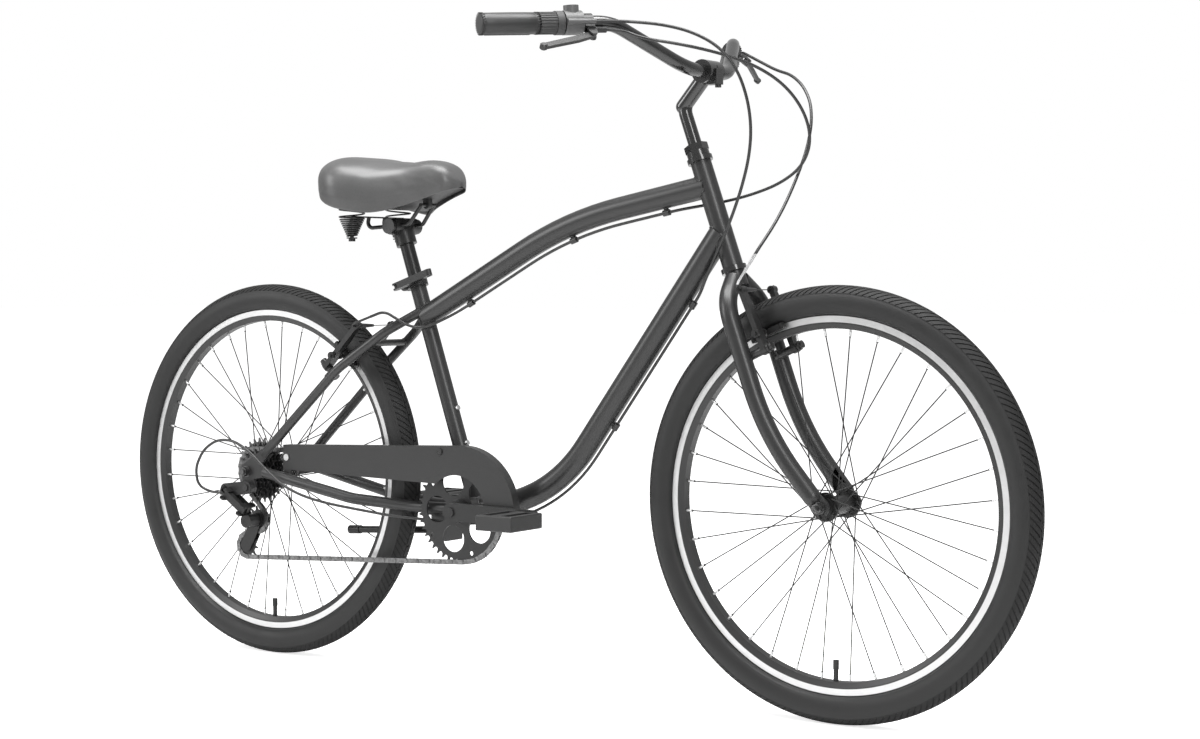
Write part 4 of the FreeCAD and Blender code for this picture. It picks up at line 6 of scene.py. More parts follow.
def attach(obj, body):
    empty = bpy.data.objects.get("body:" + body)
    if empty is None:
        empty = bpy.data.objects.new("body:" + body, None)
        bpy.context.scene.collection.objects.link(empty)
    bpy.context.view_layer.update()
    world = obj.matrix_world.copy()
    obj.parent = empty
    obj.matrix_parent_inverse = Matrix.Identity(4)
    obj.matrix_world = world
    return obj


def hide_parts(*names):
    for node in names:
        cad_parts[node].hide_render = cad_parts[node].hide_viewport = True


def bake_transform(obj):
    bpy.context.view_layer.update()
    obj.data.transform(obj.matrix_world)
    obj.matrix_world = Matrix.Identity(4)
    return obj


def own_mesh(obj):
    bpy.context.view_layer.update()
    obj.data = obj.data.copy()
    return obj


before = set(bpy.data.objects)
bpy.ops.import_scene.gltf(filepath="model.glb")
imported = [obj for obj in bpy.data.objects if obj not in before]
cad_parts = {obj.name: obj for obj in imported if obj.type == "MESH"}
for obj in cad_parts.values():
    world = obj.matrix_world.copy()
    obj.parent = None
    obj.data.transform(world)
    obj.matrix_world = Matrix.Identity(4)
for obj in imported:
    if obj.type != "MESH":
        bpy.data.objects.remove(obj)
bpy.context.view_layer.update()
scene = bpy.context.scene
scene.view_settings.view_transform = "Standard"

# Places that the pieces share with the solids, in metres
FRONT = Vector((0.5945, 0, 0.345))
REAR = Vector((-0.5945, 0, 0.345))
TYRE_R = 0.345
SECTION_R = 0.0265
MIDDLE_R = TYRE_R - SECTION_R
BAR_R = 0.0111
GRIP_END = (0.1758, 0.367, 1.0873)
GRIP_WAY = (0.539928, -0.839888, 0.055377)
SADDLE_BACK = Vector((-0.4165, 0, 0.814))
SADDLE_LENGTH = 0.268
SADDLE_HALF = 0.112
SADDLE_DEPTH = 0.106
SPRING_X = -0.3455
SPRING_HALF = 0.064
SPRING_FOOT = 0.77527
CABLE_R = 0.0025


# Working by hand: selection, edit mode and modifiers


def deselect():
    if bpy.context.object and bpy.context.object.mode != "OBJECT":
        bpy.ops.object.mode_set(mode="OBJECT")
    bpy.ops.object.select_all(action="DESELECT")


def take(piece):
    deselect()
    piece.select_set(True)
    bpy.context.view_layer.objects.active = piece
    return piece


def called(name):
    """The primitive just added, under its own name."""
    piece = bpy.context.object
    piece.name = name
    piece.data.name = name
    return piece


def choose(piece, kind, test):
    """Open a piece in edit mode with the faces or points that pass a test selected."""
    take(piece)
    bpy.ops.object.mode_set(mode="EDIT")
    bpy.ops.mesh.select_mode(type=kind)
    bpy.ops.mesh.select_all(action="DESELECT")
    bpy.ops.object.mode_set(mode="OBJECT")
    if kind == "FACE":
        for face in piece.data.polygons:
            face.select = test(face.center)
    else:
        for point in piece.data.vertices:
            point.select = test(point.co)
    bpy.ops.object.mode_set(mode="EDIT")


def whole(piece):
    take(piece)
    bpy.ops.object.mode_set(mode="EDIT")
    bpy.ops.mesh.select_mode(type="VERT")
    bpy.ops.mesh.select_all(action="SELECT")


def close_up(piece, distance=0.00001):
    """Merge doubled points and turn the faces outwards."""
    whole(piece)
    bpy.ops.mesh.remove_doubles(threshold=distance)
    bpy.ops.mesh.normals_make_consistent(inside=False)
    bpy.ops.object.mode_set(mode="OBJECT")


def modify(piece, kind, **values):
    take(piece)
    modifier = piece.modifiers.new(kind.title(), kind)
    for key, value in values.items():
        setattr(modifier, key, value)
    bpy.ops.object.modifier_apply(modifier=modifier.name)


def settle(piece):
    """Put an object's place and turn into its mesh."""
    take(piece)
    bpy.ops.object.transform_apply(location=True, rotation=True, scale=True)


def smooth(piece, degrees=35):
    take(piece)
    bpy.ops.object.shade_smooth_by_angle(angle=math.radians(degrees))


def joined(pieces, name):
    deselect()
    for piece in pieces:
        piece.select_set(True)
    bpy.context.view_layer.objects.active = pieces[0]
    bpy.ops.object.join()
    return called(name)


def finished(piece, body, slot, material, *nodes):
    piece.data.materials.clear()
    piece.data.materials.append(material)
    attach(piece, body)
    if nodes:
        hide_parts(*nodes)
    return piece


# Node groups for the effects that several finishes share


def wire(tree, value, socket):
    if isinstance(value, bpy.types.NodeSocket):
        tree.links.new(value, socket)
    else:
        socket.default_value = value


def sums(tree, operation, *values):
    node = tree.nodes.new("ShaderNodeMath")
    node.operation = operation
    for socket, value in zip(node.inputs, values):
        wire(tree, value, socket)
    return node.outputs[0]


def spread(tree, value, low, high, to_low, to_high):
    """Remap a value from one range to another, clamped."""
    node = tree.nodes.new("ShaderNodeMapRange")
    for socket, number in zip(node.inputs, (value, low, high, to_low, to_high)):
        wire(tree, number, socket)
    return node.outputs[0]


def noise(tree, vector, scale, detail=2.0, rough=0.5):
    node = tree.nodes.new("ShaderNodeTexNoise")
    wire(tree, vector, node.inputs["Vector"])
    wire(tree, scale, node.inputs["Scale"])
    node.inputs["Detail"].default_value = detail
    node.inputs["Roughness"].default_value = rough
    return node.outputs["Fac"]


def blended(tree, factor, first, second):
    node = tree.nodes.new("ShaderNodeMix")
    node.data_type = "RGBA"
    wire(tree, factor, node.inputs["Factor"])
    wire(tree, first, node.inputs["A"])
    wire(tree, second, node.inputs["B"])
    return node.outputs["Result"]


SOCKETS = {"value": "NodeSocketFloat", "colour": "NodeSocketColor", "place": "NodeSocketVector"}


def group_of(name, inputs, outputs):
    tree = bpy.data.node_groups.new(name, "ShaderNodeTree")
    for label, kind in inputs:
        tree.interface.new_socket(name=label, in_out="INPUT", socket_type=SOCKETS[kind])
    for label, kind in outputs:
        tree.interface.new_socket(name=label, in_out="OUTPUT", socket_type=SOCKETS[kind])
    start = tree.nodes.new("NodeGroupInput").outputs
    end = tree.nodes.new("NodeGroupOutput").inputs
    return tree, start, end


def make_coat_of_paint():
    """Slow mottle in the colour, orange peel and fine flake in the surface."""
    tree, start, end = group_of("coat_of_paint", [
        ("Place", "place"), ("Colour", "colour"), ("Mottle", "value"), ("Peel Scale", "value"),
        ("Roughness", "value"), ("Unevenness", "value")],
        [("Colour", "colour"), ("Roughness", "value"), ("Height", "value")])
    slow = noise(tree, start["Place"], 11.0, 4.0, 0.6)
    peel = noise(tree, start["Place"], start["Peel Scale"], 2.0)
    flake = noise(tree, start["Place"], 420.0, 1.0)
    tone = sums(tree, "ADD", sums(tree, "MULTIPLY", sums(tree, "SUBTRACT", slow, 0.5), start["Mottle"]), 1.0)
    speck = spread(tree, flake, 0.35, 0.75, 0.97, 1.03)
    scale = tree.nodes.new("ShaderNodeVectorMath")
    scale.operation = "SCALE"
    wire(tree, start["Colour"], scale.inputs[0])
    wire(tree, sums(tree, "MULTIPLY", tone, speck), scale.inputs["Scale"])
    uneven = sums(tree, "MULTIPLY", sums(tree, "SUBTRACT", slow, 0.5), start["Unevenness"])
    fine = sums(tree, "MULTIPLY", sums(tree, "SUBTRACT", flake, 0.5), start["Unevenness"])
    tree.links.new(scale.outputs[0], end["Colour"])
    tree.links.new(sums(tree, "ADD", sums(tree, "ADD", start["Roughness"], uneven), fine), end["Roughness"])
    tree.links.new(sums(tree, "ADD", peel, sums(tree, "MULTIPLY", flake, 0.05)), end["Height"])
    return tree


def make_wheel_place():
    """Radius from a wheel's axle, distance from its middle plane and the height of fine turned rings."""
    tree, start, end = group_of("wheel_place", [("Place", "place")], [
        ("Radius", "value"), ("Side", "value"), ("Height", "value")])
    parts = tree.nodes.new("ShaderNodeSeparateXYZ")
    tree.links.new(start["Place"], parts.inputs[0])
    along, across, up = parts.outputs
    squares = sums(tree, "ADD", sums(tree, "MULTIPLY", along, along), sums(tree, "MULTIPLY", up, up))
    radius = sums(tree, "SQRT", squares)
    tree.links.new(radius, end["Radius"])
    tree.links.new(sums(tree, "ABSOLUTE", across), end["Side"])
    rings = sums(tree, "SINE", sums(tree, "MULTIPLY", radius, 14000.0))
    tree.links.new(rings, end["Height"])
    return tree


def make_skin_grain():
    """Pebbled grain of soft vinyl, with finer creases between the pebbles, and painted shade in the hollows
    between them.
    """
    tree, start, end = group_of("skin_grain", [
        ("Place", "place"), ("Colour", "colour"), ("Pebble Scale", "value"), ("Roughness", "value")],
        [("Colour", "colour"), ("Roughness", "value"), ("Height", "value")])
    cells = tree.nodes.new("ShaderNodeTexVoronoi")
    cells.feature = "SMOOTH_F1"
    cells.inputs["Smoothness"].default_value = 0.6
    wire(tree, start["Place"], cells.inputs["Vector"])
    wire(tree, start["Pebble Scale"], cells.inputs["Scale"])
    pebble = cells.outputs["Distance"]
    slow = noise(tree, start["Place"], 18.0, 3.0)
    crease = noise(tree, start["Place"], sums(tree, "MULTIPLY", start["Pebble Scale"], 0.35), 4.0, 0.65)
    # Colour darkens from the pebble tops into the low hollows between them: painted shade.
    pebble_hollow_shade = spread(tree, pebble, 0.3, 0.9, 1.05, 0.86)
    tone = sums(tree, "MULTIPLY", pebble_hollow_shade, spread(tree, slow, 0.3, 0.7, 0.92, 1.08))
    scale = tree.nodes.new("ShaderNodeVectorMath")
    scale.operation = "SCALE"
    wire(tree, start["Colour"], scale.inputs[0])
    wire(tree, tone, scale.inputs["Scale"])
    tree.links.new(scale.outputs[0], end["Colour"])
    rough = sums(tree, "ADD", start["Roughness"], spread(tree, slow, 0.3, 0.7, -0.05, 0.07))
    tree.links.new(rough, end["Roughness"])
    tree.links.new(sums(tree, "SUBTRACT", sums(tree, "MULTIPLY", crease, 0.5), pebble), end["Height"])
    return tree


def make_greasy_film():
    """Patches of dark oil over a metal, in the colour and the roughness."""
    tree, start, end = group_of("greasy_film", [
        ("Place", "place"), ("Metal", "colour"), ("Oil", "colour"), ("Cover", "value")],
        [("Colour", "colour"), ("Roughness", "value"), ("Height", "value")])
    patch = noise(tree, start["Place"], 160.0, 4.0, 0.65)
    fine = noise(tree, start["Place"], 900.0, 2.0)
    cover = spread(tree, sums(tree, "ADD", patch, start["Cover"]), 0.45, 0.85, 0.0, 1.0)
    tree.links.new(blended(tree, cover, start["Metal"], start["Oil"]), end["Colour"])
    tree.links.new(spread(tree, patch, 0.3, 0.7, 0.28, 0.5), end["Roughness"])
    tree.links.new(fine, end["Height"])
    return tree


coat_of_paint = make_coat_of_paint()
wheel_place = make_wheel_place()
skin_grain = make_skin_grain()
greasy_film = make_greasy_film()


# Materials


def blank(name):
    """A material with its tree, its shader and the piece's own coordinates."""
    material = bpy.data.materials.new(name)
    material.use_nodes = True
    tree = material.node_tree
    shader = tree.nodes["Principled BSDF"]
    place = tree.nodes.new("ShaderNodeTexCoord").outputs["Object"]
    return material, tree, shader, place


def effect(tree, group, **values):
    node = tree.nodes.new("ShaderNodeGroup")
    node.node_tree = group
    for label, value in values.items():
        wire(tree, value, node.inputs[label.replace("_", " ")])
    return node.outputs


def bump(tree, shader, height, depth):
    node = tree.nodes.new("ShaderNodeBump")
    node.inputs["Strength"].default_value = 1.0
    node.inputs["Distance"].default_value = depth
    tree.links.new(height, node.inputs["Height"])
    tree.links.new(node.outputs["Normal"], shader.inputs["Normal"])


def grey(level):
    return (level, level, level, 1.0)


def shifted(tree, place, centre):
    """Coordinates measured from a wheel's axle."""
    node = tree.nodes.new("ShaderNodeMapping")
    node.inputs["Location"].default_value = -centre
    tree.links.new(place, node.inputs["Vector"])
    return node.outputs["Vector"]


def painted(name, level, rough, metal=0.0, mottle=0.12, peel=420.0, depth=0.00006, uneven=0.08, coat=0.0):
    """Paint, plastic or plating of one grey, with its mottle and peel."""
    material, tree, shader, place = blank(name)
    coat_of = effect(tree, coat_of_paint, Place=place, Colour=grey(level), Mottle=mottle, Peel_Scale=peel,
                     Roughness=rough, Unevenness=uneven)
    tree.links.new(coat_of["Colour"], shader.inputs["Base Color"])
    tree.links.new(coat_of["Roughness"], shader.inputs["Roughness"])
    shader.inputs["Metallic"].default_value = metal
    shader.inputs["Coat Weight"].default_value = coat
    shader.inputs["Coat Roughness"].default_value = 0.08
    bump(tree, shader, coat_of["Height"], depth)
    return material


def greased(name, metal, oil, cover):
    """Bare metal with more or less of it under oil."""
    material, tree, shader, place = blank(name)
    film = effect(tree, greasy_film, Place=place, Metal=grey(metal), Oil=grey(oil), Cover=cover)
    tree.links.new(film["Colour"], shader.inputs["Base Color"])
    tree.links.new(film["Roughness"], shader.inputs["Roughness"])
    shader.inputs["Metallic"].default_value = 1.0
    bump(tree, shader, film["Height"], 0.00004)
    return material


def vinyl(name, level, pebble, rough, depth, sheen):
    """Soft vinyl, near-black where a piece is marked as under: the black pan, darkened further by painted
    shade.
    """
    material, tree, shader, place = blank(name)
    skin = effect(tree, skin_grain, Place=place, Colour=grey(level), Pebble_Scale=pebble, Roughness=rough)
    pan_black_and_shade = tree.nodes.new("ShaderNodeAttribute")
    pan_black_and_shade.attribute_name = "under"
    # Underside points go near-black: the pan's own black, darkened further as painted shade under the saddle.
    colour = blended(tree, pan_black_and_shade.outputs["Fac"], skin["Colour"], grey(0.006))
    tree.links.new(colour, shader.inputs["Base Color"])
    tree.links.new(skin["Roughness"], shader.inputs["Roughness"])
    shader.inputs["Sheen Weight"].default_value = sheen
    shader.inputs["Sheen Roughness"].default_value = 0.4
    bump(tree, shader, skin["Height"], depth)
    return material


def rim_finish(name, centre):
    """Black rim with a turned silver brake track on both walls."""
    material, tree, shader, place = blank(name)
    local = shifted(tree, place, centre)
    wheel = effect(tree, wheel_place, Place=local)
    coat_of = effect(tree, coat_of_paint, Place=place, Colour=grey(0.022), Mottle=0.15, Peel_Scale=500.0,
                     Roughness=0.36, Unevenness=0.08)
    inner = spread(tree, wheel["Radius"], 0.2868, 0.2873, 0.0, 1.0)
    outer = spread(tree, wheel["Radius"], 0.2969, 0.2973, 1.0, 0.0)
    wall = spread(tree, wheel["Side"], 0.0120, 0.0122, 0.0, 1.0)
    track = sums(tree, "MULTIPLY", sums(tree, "MULTIPLY", inner, outer), wall)
    streak = noise(tree, local, 55.0, 5.0, 0.7)
    silver = blended(tree, streak, grey(0.58), grey(0.72))
    tree.links.new(blended(tree, track, coat_of["Colour"], silver), shader.inputs["Base Color"])
    tree.links.new(track, shader.inputs["Metallic"])
    turned = sums(tree, "ADD", 0.30, sums(tree, "MULTIPLY", streak, 0.12))
    bright = sums(tree, "MULTIPLY", sums(tree, "SUBTRACT", turned, coat_of["Roughness"]), track)
    tree.links.new(sums(tree, "ADD", coat_of["Roughness"], bright), shader.inputs["Roughness"])
    lines = sums(tree, "MULTIPLY", wheel["Height"], track)
    bump(tree, shader, sums(tree, "ADD", lines, coat_of["Height"]), 0.000006)
    return material


def spoke_finish(name, centre):
    """Black spokes with plated nipples at the rim."""
    material, tree, shader, place = blank(name)
    wheel = effect(tree, wheel_place, Place=shifted(tree, place, centre))
    coat_of = effect(tree, coat_of_paint, Place=place, Colour=grey(0.01), Mottle=0.2, Peel_Scale=900.0,
                     Roughness=0.5, Unevenness=0.1)
    nipple = spread(tree, wheel["Radius"], 0.2655, 0.2660, 0.0, 1.0)
    plate = blended(tree, noise(tree, place, 400.0, 3.0), grey(0.6), grey(0.8))
    tree.links.new(blended(tree, nipple, coat_of["Colour"], plate), shader.inputs["Base Color"])
    tree.links.new(nipple, shader.inputs["Metallic"])
    tree.links.new(coat_of["Roughness"], shader.inputs["Roughness"])
    bump(tree, shader, coat_of["Height"], 0.00003)
    return material


def tyre_finish(name, centre):
    """Black rubber: ringed smooth walls, and a tread with painted shade in its grooves, darker than its
    lands.
    """
    material, tree, shader, place = blank(name)
    local = shifted(tree, place, centre)
    wheel = effect(tree, wheel_place, Place=local)
    rise = sums(tree, "SUBTRACT", wheel["Radius"], MIDDLE_R)
    lean = sums(tree, "ARCTAN2", rise, wheel["Side"])
    tread = spread(tree, lean, 0.54, 0.58, 0.0, 1.0)
    squares = sums(tree, "ADD", sums(tree, "MULTIPLY", rise, rise),
                   sums(tree, "MULTIPLY", wheel["Side"], wheel["Side"]))
    land_not_shaded_groove = spread(tree, sums(tree, "SQRT", squares), 0.0254, 0.0263, 0.0, 1.0)
    slow = noise(tree, local, 30.0, 4.0, 0.6)
    fine = noise(tree, local, 500.0, 2.0)
    walls = blended(tree, slow, grey(0.013), grey(0.019))
    tread_land_grey = blended(tree, slow, grey(0.008), grey(0.013))
    # Groove floors get a darker grey than the lands: painted shade in the grooves.
    lands_and_groove_shade = blended(tree, land_not_shaded_groove, grey(0.004), tread_land_grey)
    tree.links.new(blended(tree, tread, walls, lands_and_groove_shade), shader.inputs["Base Color"])
    worn = spread(tree, slow, 0.3, 0.7, -0.06, 0.06)
    matt = sums(tree, "ADD", spread(tree, tread, 0.0, 1.0, 0.5, 0.66), worn)
    tree.links.new(matt, shader.inputs["Roughness"])
    shader.inputs["Specular IOR Level"].default_value = 0.35
    rings = sums(tree, "SINE", sums(tree, "MULTIPLY", wheel["Radius"], 5200.0))
    ribs = sums(tree, "MULTIPLY", rings, spread(tree, tread, 0.0, 1.0, 0.5, 0.0))
    bump(tree, shader, sums(tree, "ADD", ribs, fine), 0.00005)
    return material


def bolt_finish(name):
    """Plated bottle and guard-end bolts; the others are black."""
    material, tree, shader, place = blank(name)
    parts = tree.nodes.new("ShaderNodeSeparateXYZ")
    tree.links.new(place, parts.inputs[0])
    along, across, up = parts.outputs
    middle = spread(tree, sums(tree, "ABSOLUTE", across), 0.011, 0.012, 1.0, 0.0)
    tail = sums(tree, "MULTIPLY", spread(tree, along, -0.46, -0.45, 1.0, 0.0),
                spread(tree, up, 0.34, 0.345, 0.0, 1.0))
    bright = sums(tree, "MAXIMUM", middle, tail)
    speck = noise(tree, place, 700.0, 3.0)
    plate = blended(tree, speck, grey(0.55), grey(0.75))
    black = blended(tree, speck, grey(0.014), grey(0.024))
    tree.links.new(blended(tree, bright, black, plate), shader.inputs["Base Color"])
    tree.links.new(bright, shader.inputs["Metallic"])
    tree.links.new(spread(tree, speck, 0.3, 0.7, 0.24, 0.4), shader.inputs["Roughness"])
    return material


def housing_finish(name, low, high):
    """Black cable housing with a bright bent pipe between two heights."""
    material, tree, shader, place = blank(name)
    parts = tree.nodes.new("ShaderNodeSeparateXYZ")
    tree.links.new(place, parts.inputs[0])
    up = parts.outputs["Z"]
    pipe = sums(tree, "MULTIPLY", spread(tree, up, low, low + 0.001, 0.0, 1.0),
                spread(tree, up, high, high + 0.001, 1.0, 0.0))
    speck = noise(tree, place, 900.0, 2.0)
    black = blended(tree, speck, grey(0.012), grey(0.022))
    plate = blended(tree, speck, grey(0.5), grey(0.7))
    tree.links.new(blended(tree, pipe, black, plate), shader.inputs["Base Color"])
    tree.links.new(pipe, shader.inputs["Metallic"])
    tree.links.new(spread(tree, speck, 0.3, 0.7, 0.26, 0.4), shader.inputs["Roughness"])
    return material


def clear_finish(name):
    """Thin clear plastic with a faint haze."""
    material, tree, shader, place = blank(name)
    haze = noise(tree, place, 60.0, 4.0)
    tree.links.new(blended(tree, haze, grey(0.86), grey(0.96)), shader.inputs["Base Color"])
    tree.links.new(spread(tree, haze, 0.3, 0.7, 0.06, 0.2), shader.inputs["Roughness"])
    shader.inputs["Transmission Weight"].default_value = 1.0
    shader.inputs["IOR"].default_value = 1.06
    return material


frame_grey = painted("frame_matte_grey", 0.021, 0.34, mottle=0.06, peel=160.0, depth=0.00002, uneven=0.04)
weld_grey = painted("frame_weld_grey", 0.021, 0.40, mottle=0.1, peel=260.0, depth=0.0001)
bar_black = painted("gloss_black_bar", 0.012, 0.20, mottle=0.2, peel=300.0, depth=0.00003, coat=0.6)
post_black = painted("satin_black_post", 0.03, 0.30, metal=0.5, mottle=0.2, peel=700.0)
alloy_black = painted("black_anodised_alloy", 0.024, 0.38, metal=0.35, mottle=0.2, peel=900.0, depth=0.00005)
lever_black = painted("lever_black", 0.035, 0.34, metal=0.35, mottle=0.2, peel=800.0, depth=0.00004)
ring_black = painted("chainring_black", 0.018, 0.40, metal=0.2, mottle=0.25, peel=800.0)
spring_black = painted("spring_black", 0.014, 0.34, mottle=0.3, peel=900.0)
plastic_black = painted("moulded_black", 0.02, 0.5, mottle=0.15, peel=1300.0, depth=0.0001)
shifter_grey = painted("shifter_grey_shell", 0.10, 0.42, mottle=0.12, peel=1200.0, depth=0.00006)
pad_black = painted("black_rubber", 0.018, 0.62, mottle=0.2, peel=1600.0, depth=0.0001)
twist_grey = painted("twist_rubber", 0.05, 0.6, mottle=0.15, peel=1600.0, depth=0.0001)
housing_black = painted("cable_housing_black", 0.02, 0.33, mottle=0.2, peel=900.0, depth=0.00003)
lace_black = painted("lacing_cord", 0.008, 0.6, mottle=0.3, peel=2200.0, depth=0.0002)
chain_steel = greased("oiled_chain", 0.23, 0.06, 0.06)
cog_steel = greased("oiled_cogs", 0.16, 0.04, 0.1)
axle_steel = greased("axle_steel", 0.18, 0.05, 0.1)
derailleur_black = painted("derailleur_black", 0.022, 0.36, metal=0.3, mottle=0.25, peel=800.0)
saddle_vinyl = vinyl("saddle_vinyl", 0.08, 700.0, 0.34, 0.00003, 0.0)
grip_vinyl = vinyl("grip_vinyl", 0.022, 800.0, 0.42, 0.00003, 0.08)
guard_clear = clear_finish("clear_guard")


def dress(material, *nodes):
    """Give nodes that keep their own shape a finish."""
    for name in nodes:
        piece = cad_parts[name]
        if not piece.material_slots:
            piece.data.materials.append(material)
        for slot in piece.material_slots:
            slot.material = material


dress(frame_grey, "frame", "fork", "chain_guard", "kickstand_bracket")
dress(bar_black, "handlebar", "stem", "headset_races", "bearing_cups")
dress(post_black, "seat_post")
dress(alloy_black, "front_hub", "rear_hub", "crank_arms", "kickstand_leg", "seat_collar", "seat_collar_lever",
      "front_brake_arm_left", "front_brake_arm_right", "rear_brake_arm_left", "rear_brake_arm_right")
dress(lever_black, "brake_lever_left", "brake_lever_right", "brake_lever_brackets")
dress(ring_black, "chainring")
dress(spring_black, "saddle_rails")
dress(plastic_black, "pedal_left", "pedal_right", "saddle_base", "guide_pulley", "tension_pulley")
dress(shifter_grey, "shifter_body")
dress(twist_grey, "shifter_twist")
dress(pad_black, "front_inner_tube", "rear_inner_tube")
dress(housing_black, "rear_brake_cable", "shift_cable")
dress(housing_finish("front_brake_housing", 0.69, 0.738), "front_brake_cable")
dress(bolt_finish("frame_bolt_finish"), "frame_bolts")
dress(alloy_black, "fork_bolts", "crank_axles")
dress(chain_steel, "chain")
dress(cog_steel, "freewheel")
dress(axle_steel, "front_axle", "rear_axle")
dress(derailleur_black, "derailleur_mount", "derailleur_outer_link", "derailleur_inner_link",
      "derailleur_knuckle", "derailleur_cage")
dress(guard_clear, "spoke_guard")
for end, axle in (("front", FRONT), ("rear", REAR)):
    dress(rim_finish(end + "_rim_finish", axle), end + "_rim")
    dress(spoke_finish(end + "_spoke_finish", axle), end + "_spokes")


# Tyres with their tread


MM = 0.001
# Arcs from the crown, in millimetres: the middle rib, the groove beside it, the tread blocks, the walls
RIB_EDGE, GROOVE_EDGE, BLOCK_EDGE, TREAD_EDGE = 3.0, 4.3, 7.0, 26.2
TREAD_ARCS = (0.0, 1.5, RIB_EDGE, GROOVE_EDGE, BLOCK_EDGE, 10.2, 13.4, 16.6, 19.8, 23.0, TREAD_EDGE)
WALL_ARCS = (27.0, 29.0, 33.0, 37.5, 42.0, 46.5, 51.0, 55.5, 59.0, 62.2)
TREAD_PROUD = 0.0006
GROOVE_DEPTH = 0.0012
GROOVES_ABOVE = 0.006
INSIDE_R = 0.0235
INSIDE_FROM_DEG, INSIDE_TURN_DEG = -52, 142
BEAD_OUTSIDE, BEAD_INSIDE = 0.0106, 0.0072
BEAD_HIGH_R, BEAD_LOW_R = 0.2983, 0.2913
TYRE_STEPS = 720


def tyre_half():
    """Half a tyre's section from the crown to the bead and back inside: side, radius, lag along the tread."""
    rows = []
    for arc in TREAD_ARCS + WALL_ARCS:
        lean = math.pi / 2 - arc * MM / SECTION_R
        section = SECTION_R if arc <= TREAD_EDGE else SECTION_R - TREAD_PROUD
        lag = min(arc, TREAD_EDGE) * MM / TYRE_R
        rows.append((section * math.cos(lean), MIDDLE_R + section * math.sin(lean), lag))
    full = rows[-1][2]
    rows += [(BEAD_OUTSIDE, BEAD_HIGH_R, full), (BEAD_OUTSIDE, BEAD_LOW_R, full),
             (BEAD_INSIDE, BEAD_LOW_R, full), (BEAD_INSIDE, BEAD_HIGH_R, full)]
    for share in (0.0, 0.25, 0.5, 0.75):
        lean = math.radians(INSIDE_FROM_DEG + INSIDE_TURN_DEG * share)
        rows.append((INSIDE_R * math.cos(lean), MIDDLE_R + INSIDE_R * math.sin(lean), full * (1 - share)))
    return rows


def tread_place(centre, spot):
    """Arc from the crown and angle round the wheel, less the lag of the grooves there."""
    local = spot - centre
    radius = math.hypot(local.x, local.z)
    lean = math.atan2(radius - MIDDLE_R, abs(local.y))
    arc = (math.pi / 2 - lean) * SECTION_R
    return radius, arc / MM, math.atan2(local.z, local.x) - arc / TYRE_R


def tyre(name, centre, body, node):
    """Section spun about the axle, its grooves pushed in column by column."""
    half = tyre_half()
    crown_inside = (0.0, MIDDLE_R + INSIDE_R, 0.0)
    ring = half + [crown_inside] + [(-side, radius, lag) for side, radius, lag in reversed(half[1:])]
    deselect()
    bpy.ops.mesh.primitive_circle_add(vertices=len(ring), radius=SECTION_R, location=(0, 0, 0))
    piece = called(name)
    for point, (side, radius, lag) in zip(piece.data.vertices, ring):
        point.co = centre + Vector((radius * math.cos(lag), side, radius * math.sin(lag)))
    whole(piece)
    bpy.ops.mesh.spin(steps=TYRE_STEPS, angle=2 * math.pi, center=centre, axis=(0, 1, 0), use_auto_merge=True)
    close_up(piece)
    column = 2 * math.pi / TYRE_STEPS

    def in_groove(spot):
        radius, arc, angle = tread_place(centre, spot)
        if radius < MIDDLE_R + GROOVES_ABOVE or arc > TREAD_EDGE:
            return False
        index = int(math.floor(angle / column)) % 8
        if RIB_EDGE < arc < GROOVE_EDGE:
            return True
        if arc < RIB_EDGE:
            return index == 5
        return index == 0 or arc > BLOCK_EDGE and index == 4

    choose(piece, "FACE", in_groove)
    bpy.ops.mesh.extrude_region_shrink_fatten(TRANSFORM_OT_shrink_fatten={"value": -GROOVE_DEPTH})
    bpy.ops.object.mode_set(mode="OBJECT")
    smooth(piece, 40)
    return finished(piece, body, "tyre", tyre_finish(name + "_rubber", centre), node)


tyre("front_tyre_treaded", FRONT, "front_wheel", "front_tyre")
tyre("rear_tyre_treaded", REAR, "rear_wheel", "rear_tyre")


# Saddle


# Sections from tail to nose: share of the length, share of the half width, and the levels of the top and of
# the hem as shares of the depth
SADDLE_ROWS = ((0.0, 0.56, 0.76, 0.44), (0.07, 0.85, 0.93, 0.275), (0.2, 1.0, 1.0, 0.13),
               (0.34, 0.965, 0.95, 0.05), (0.485, 0.785, 0.86, 0.015), (0.63, 0.52, 0.845, 0.105),
               (0.795, 0.375, 0.885, 0.243), (0.92, 0.32, 0.8, 0.342), (1.0, 0.25, 0.6, 0.38))
# Underside of half a section, from the widest line to the middle: share of the way, width, level between
# the widest line and the hem, share of the recess
SADDLE_UNDER = ((0.0, 1.0, 0.0, 0.0), (0.3, 0.99, 0.5, 0.0), (0.55, 0.955, 0.94, 0.0), (0.6, 0.94, 1.0, 0.0),
                (0.68, 0.9, 1.0, 0.05), (0.72, 0.88, 1.0, 0.3), (0.8, 0.87, 1.0, 1.0), (1.0, 0.0, 1.0, 1.0))
# Share of the turn below the widest line from which the underside is painted near-black, for the black pan
# and painted shade.
PAN_BLACK_AND_SHADE_FROM_SHARE = 0.68
TAIL_ROUND_SHARE, NOSE_ROUND_SHARE = 0.07, 0.085
WIDEST_SHARE = 0.42
RECESS_SHARE = 0.09
DISH_SHARE, DISH_HALF_SHARE = 0.06, 0.4
DISH_AT_SHARE, DISH_REACH_SHARE = 0.2, 0.18
HELD_SHARE = 0.25
SWELL_LIMIT = 0.004
SWELL_FRAMES = 20


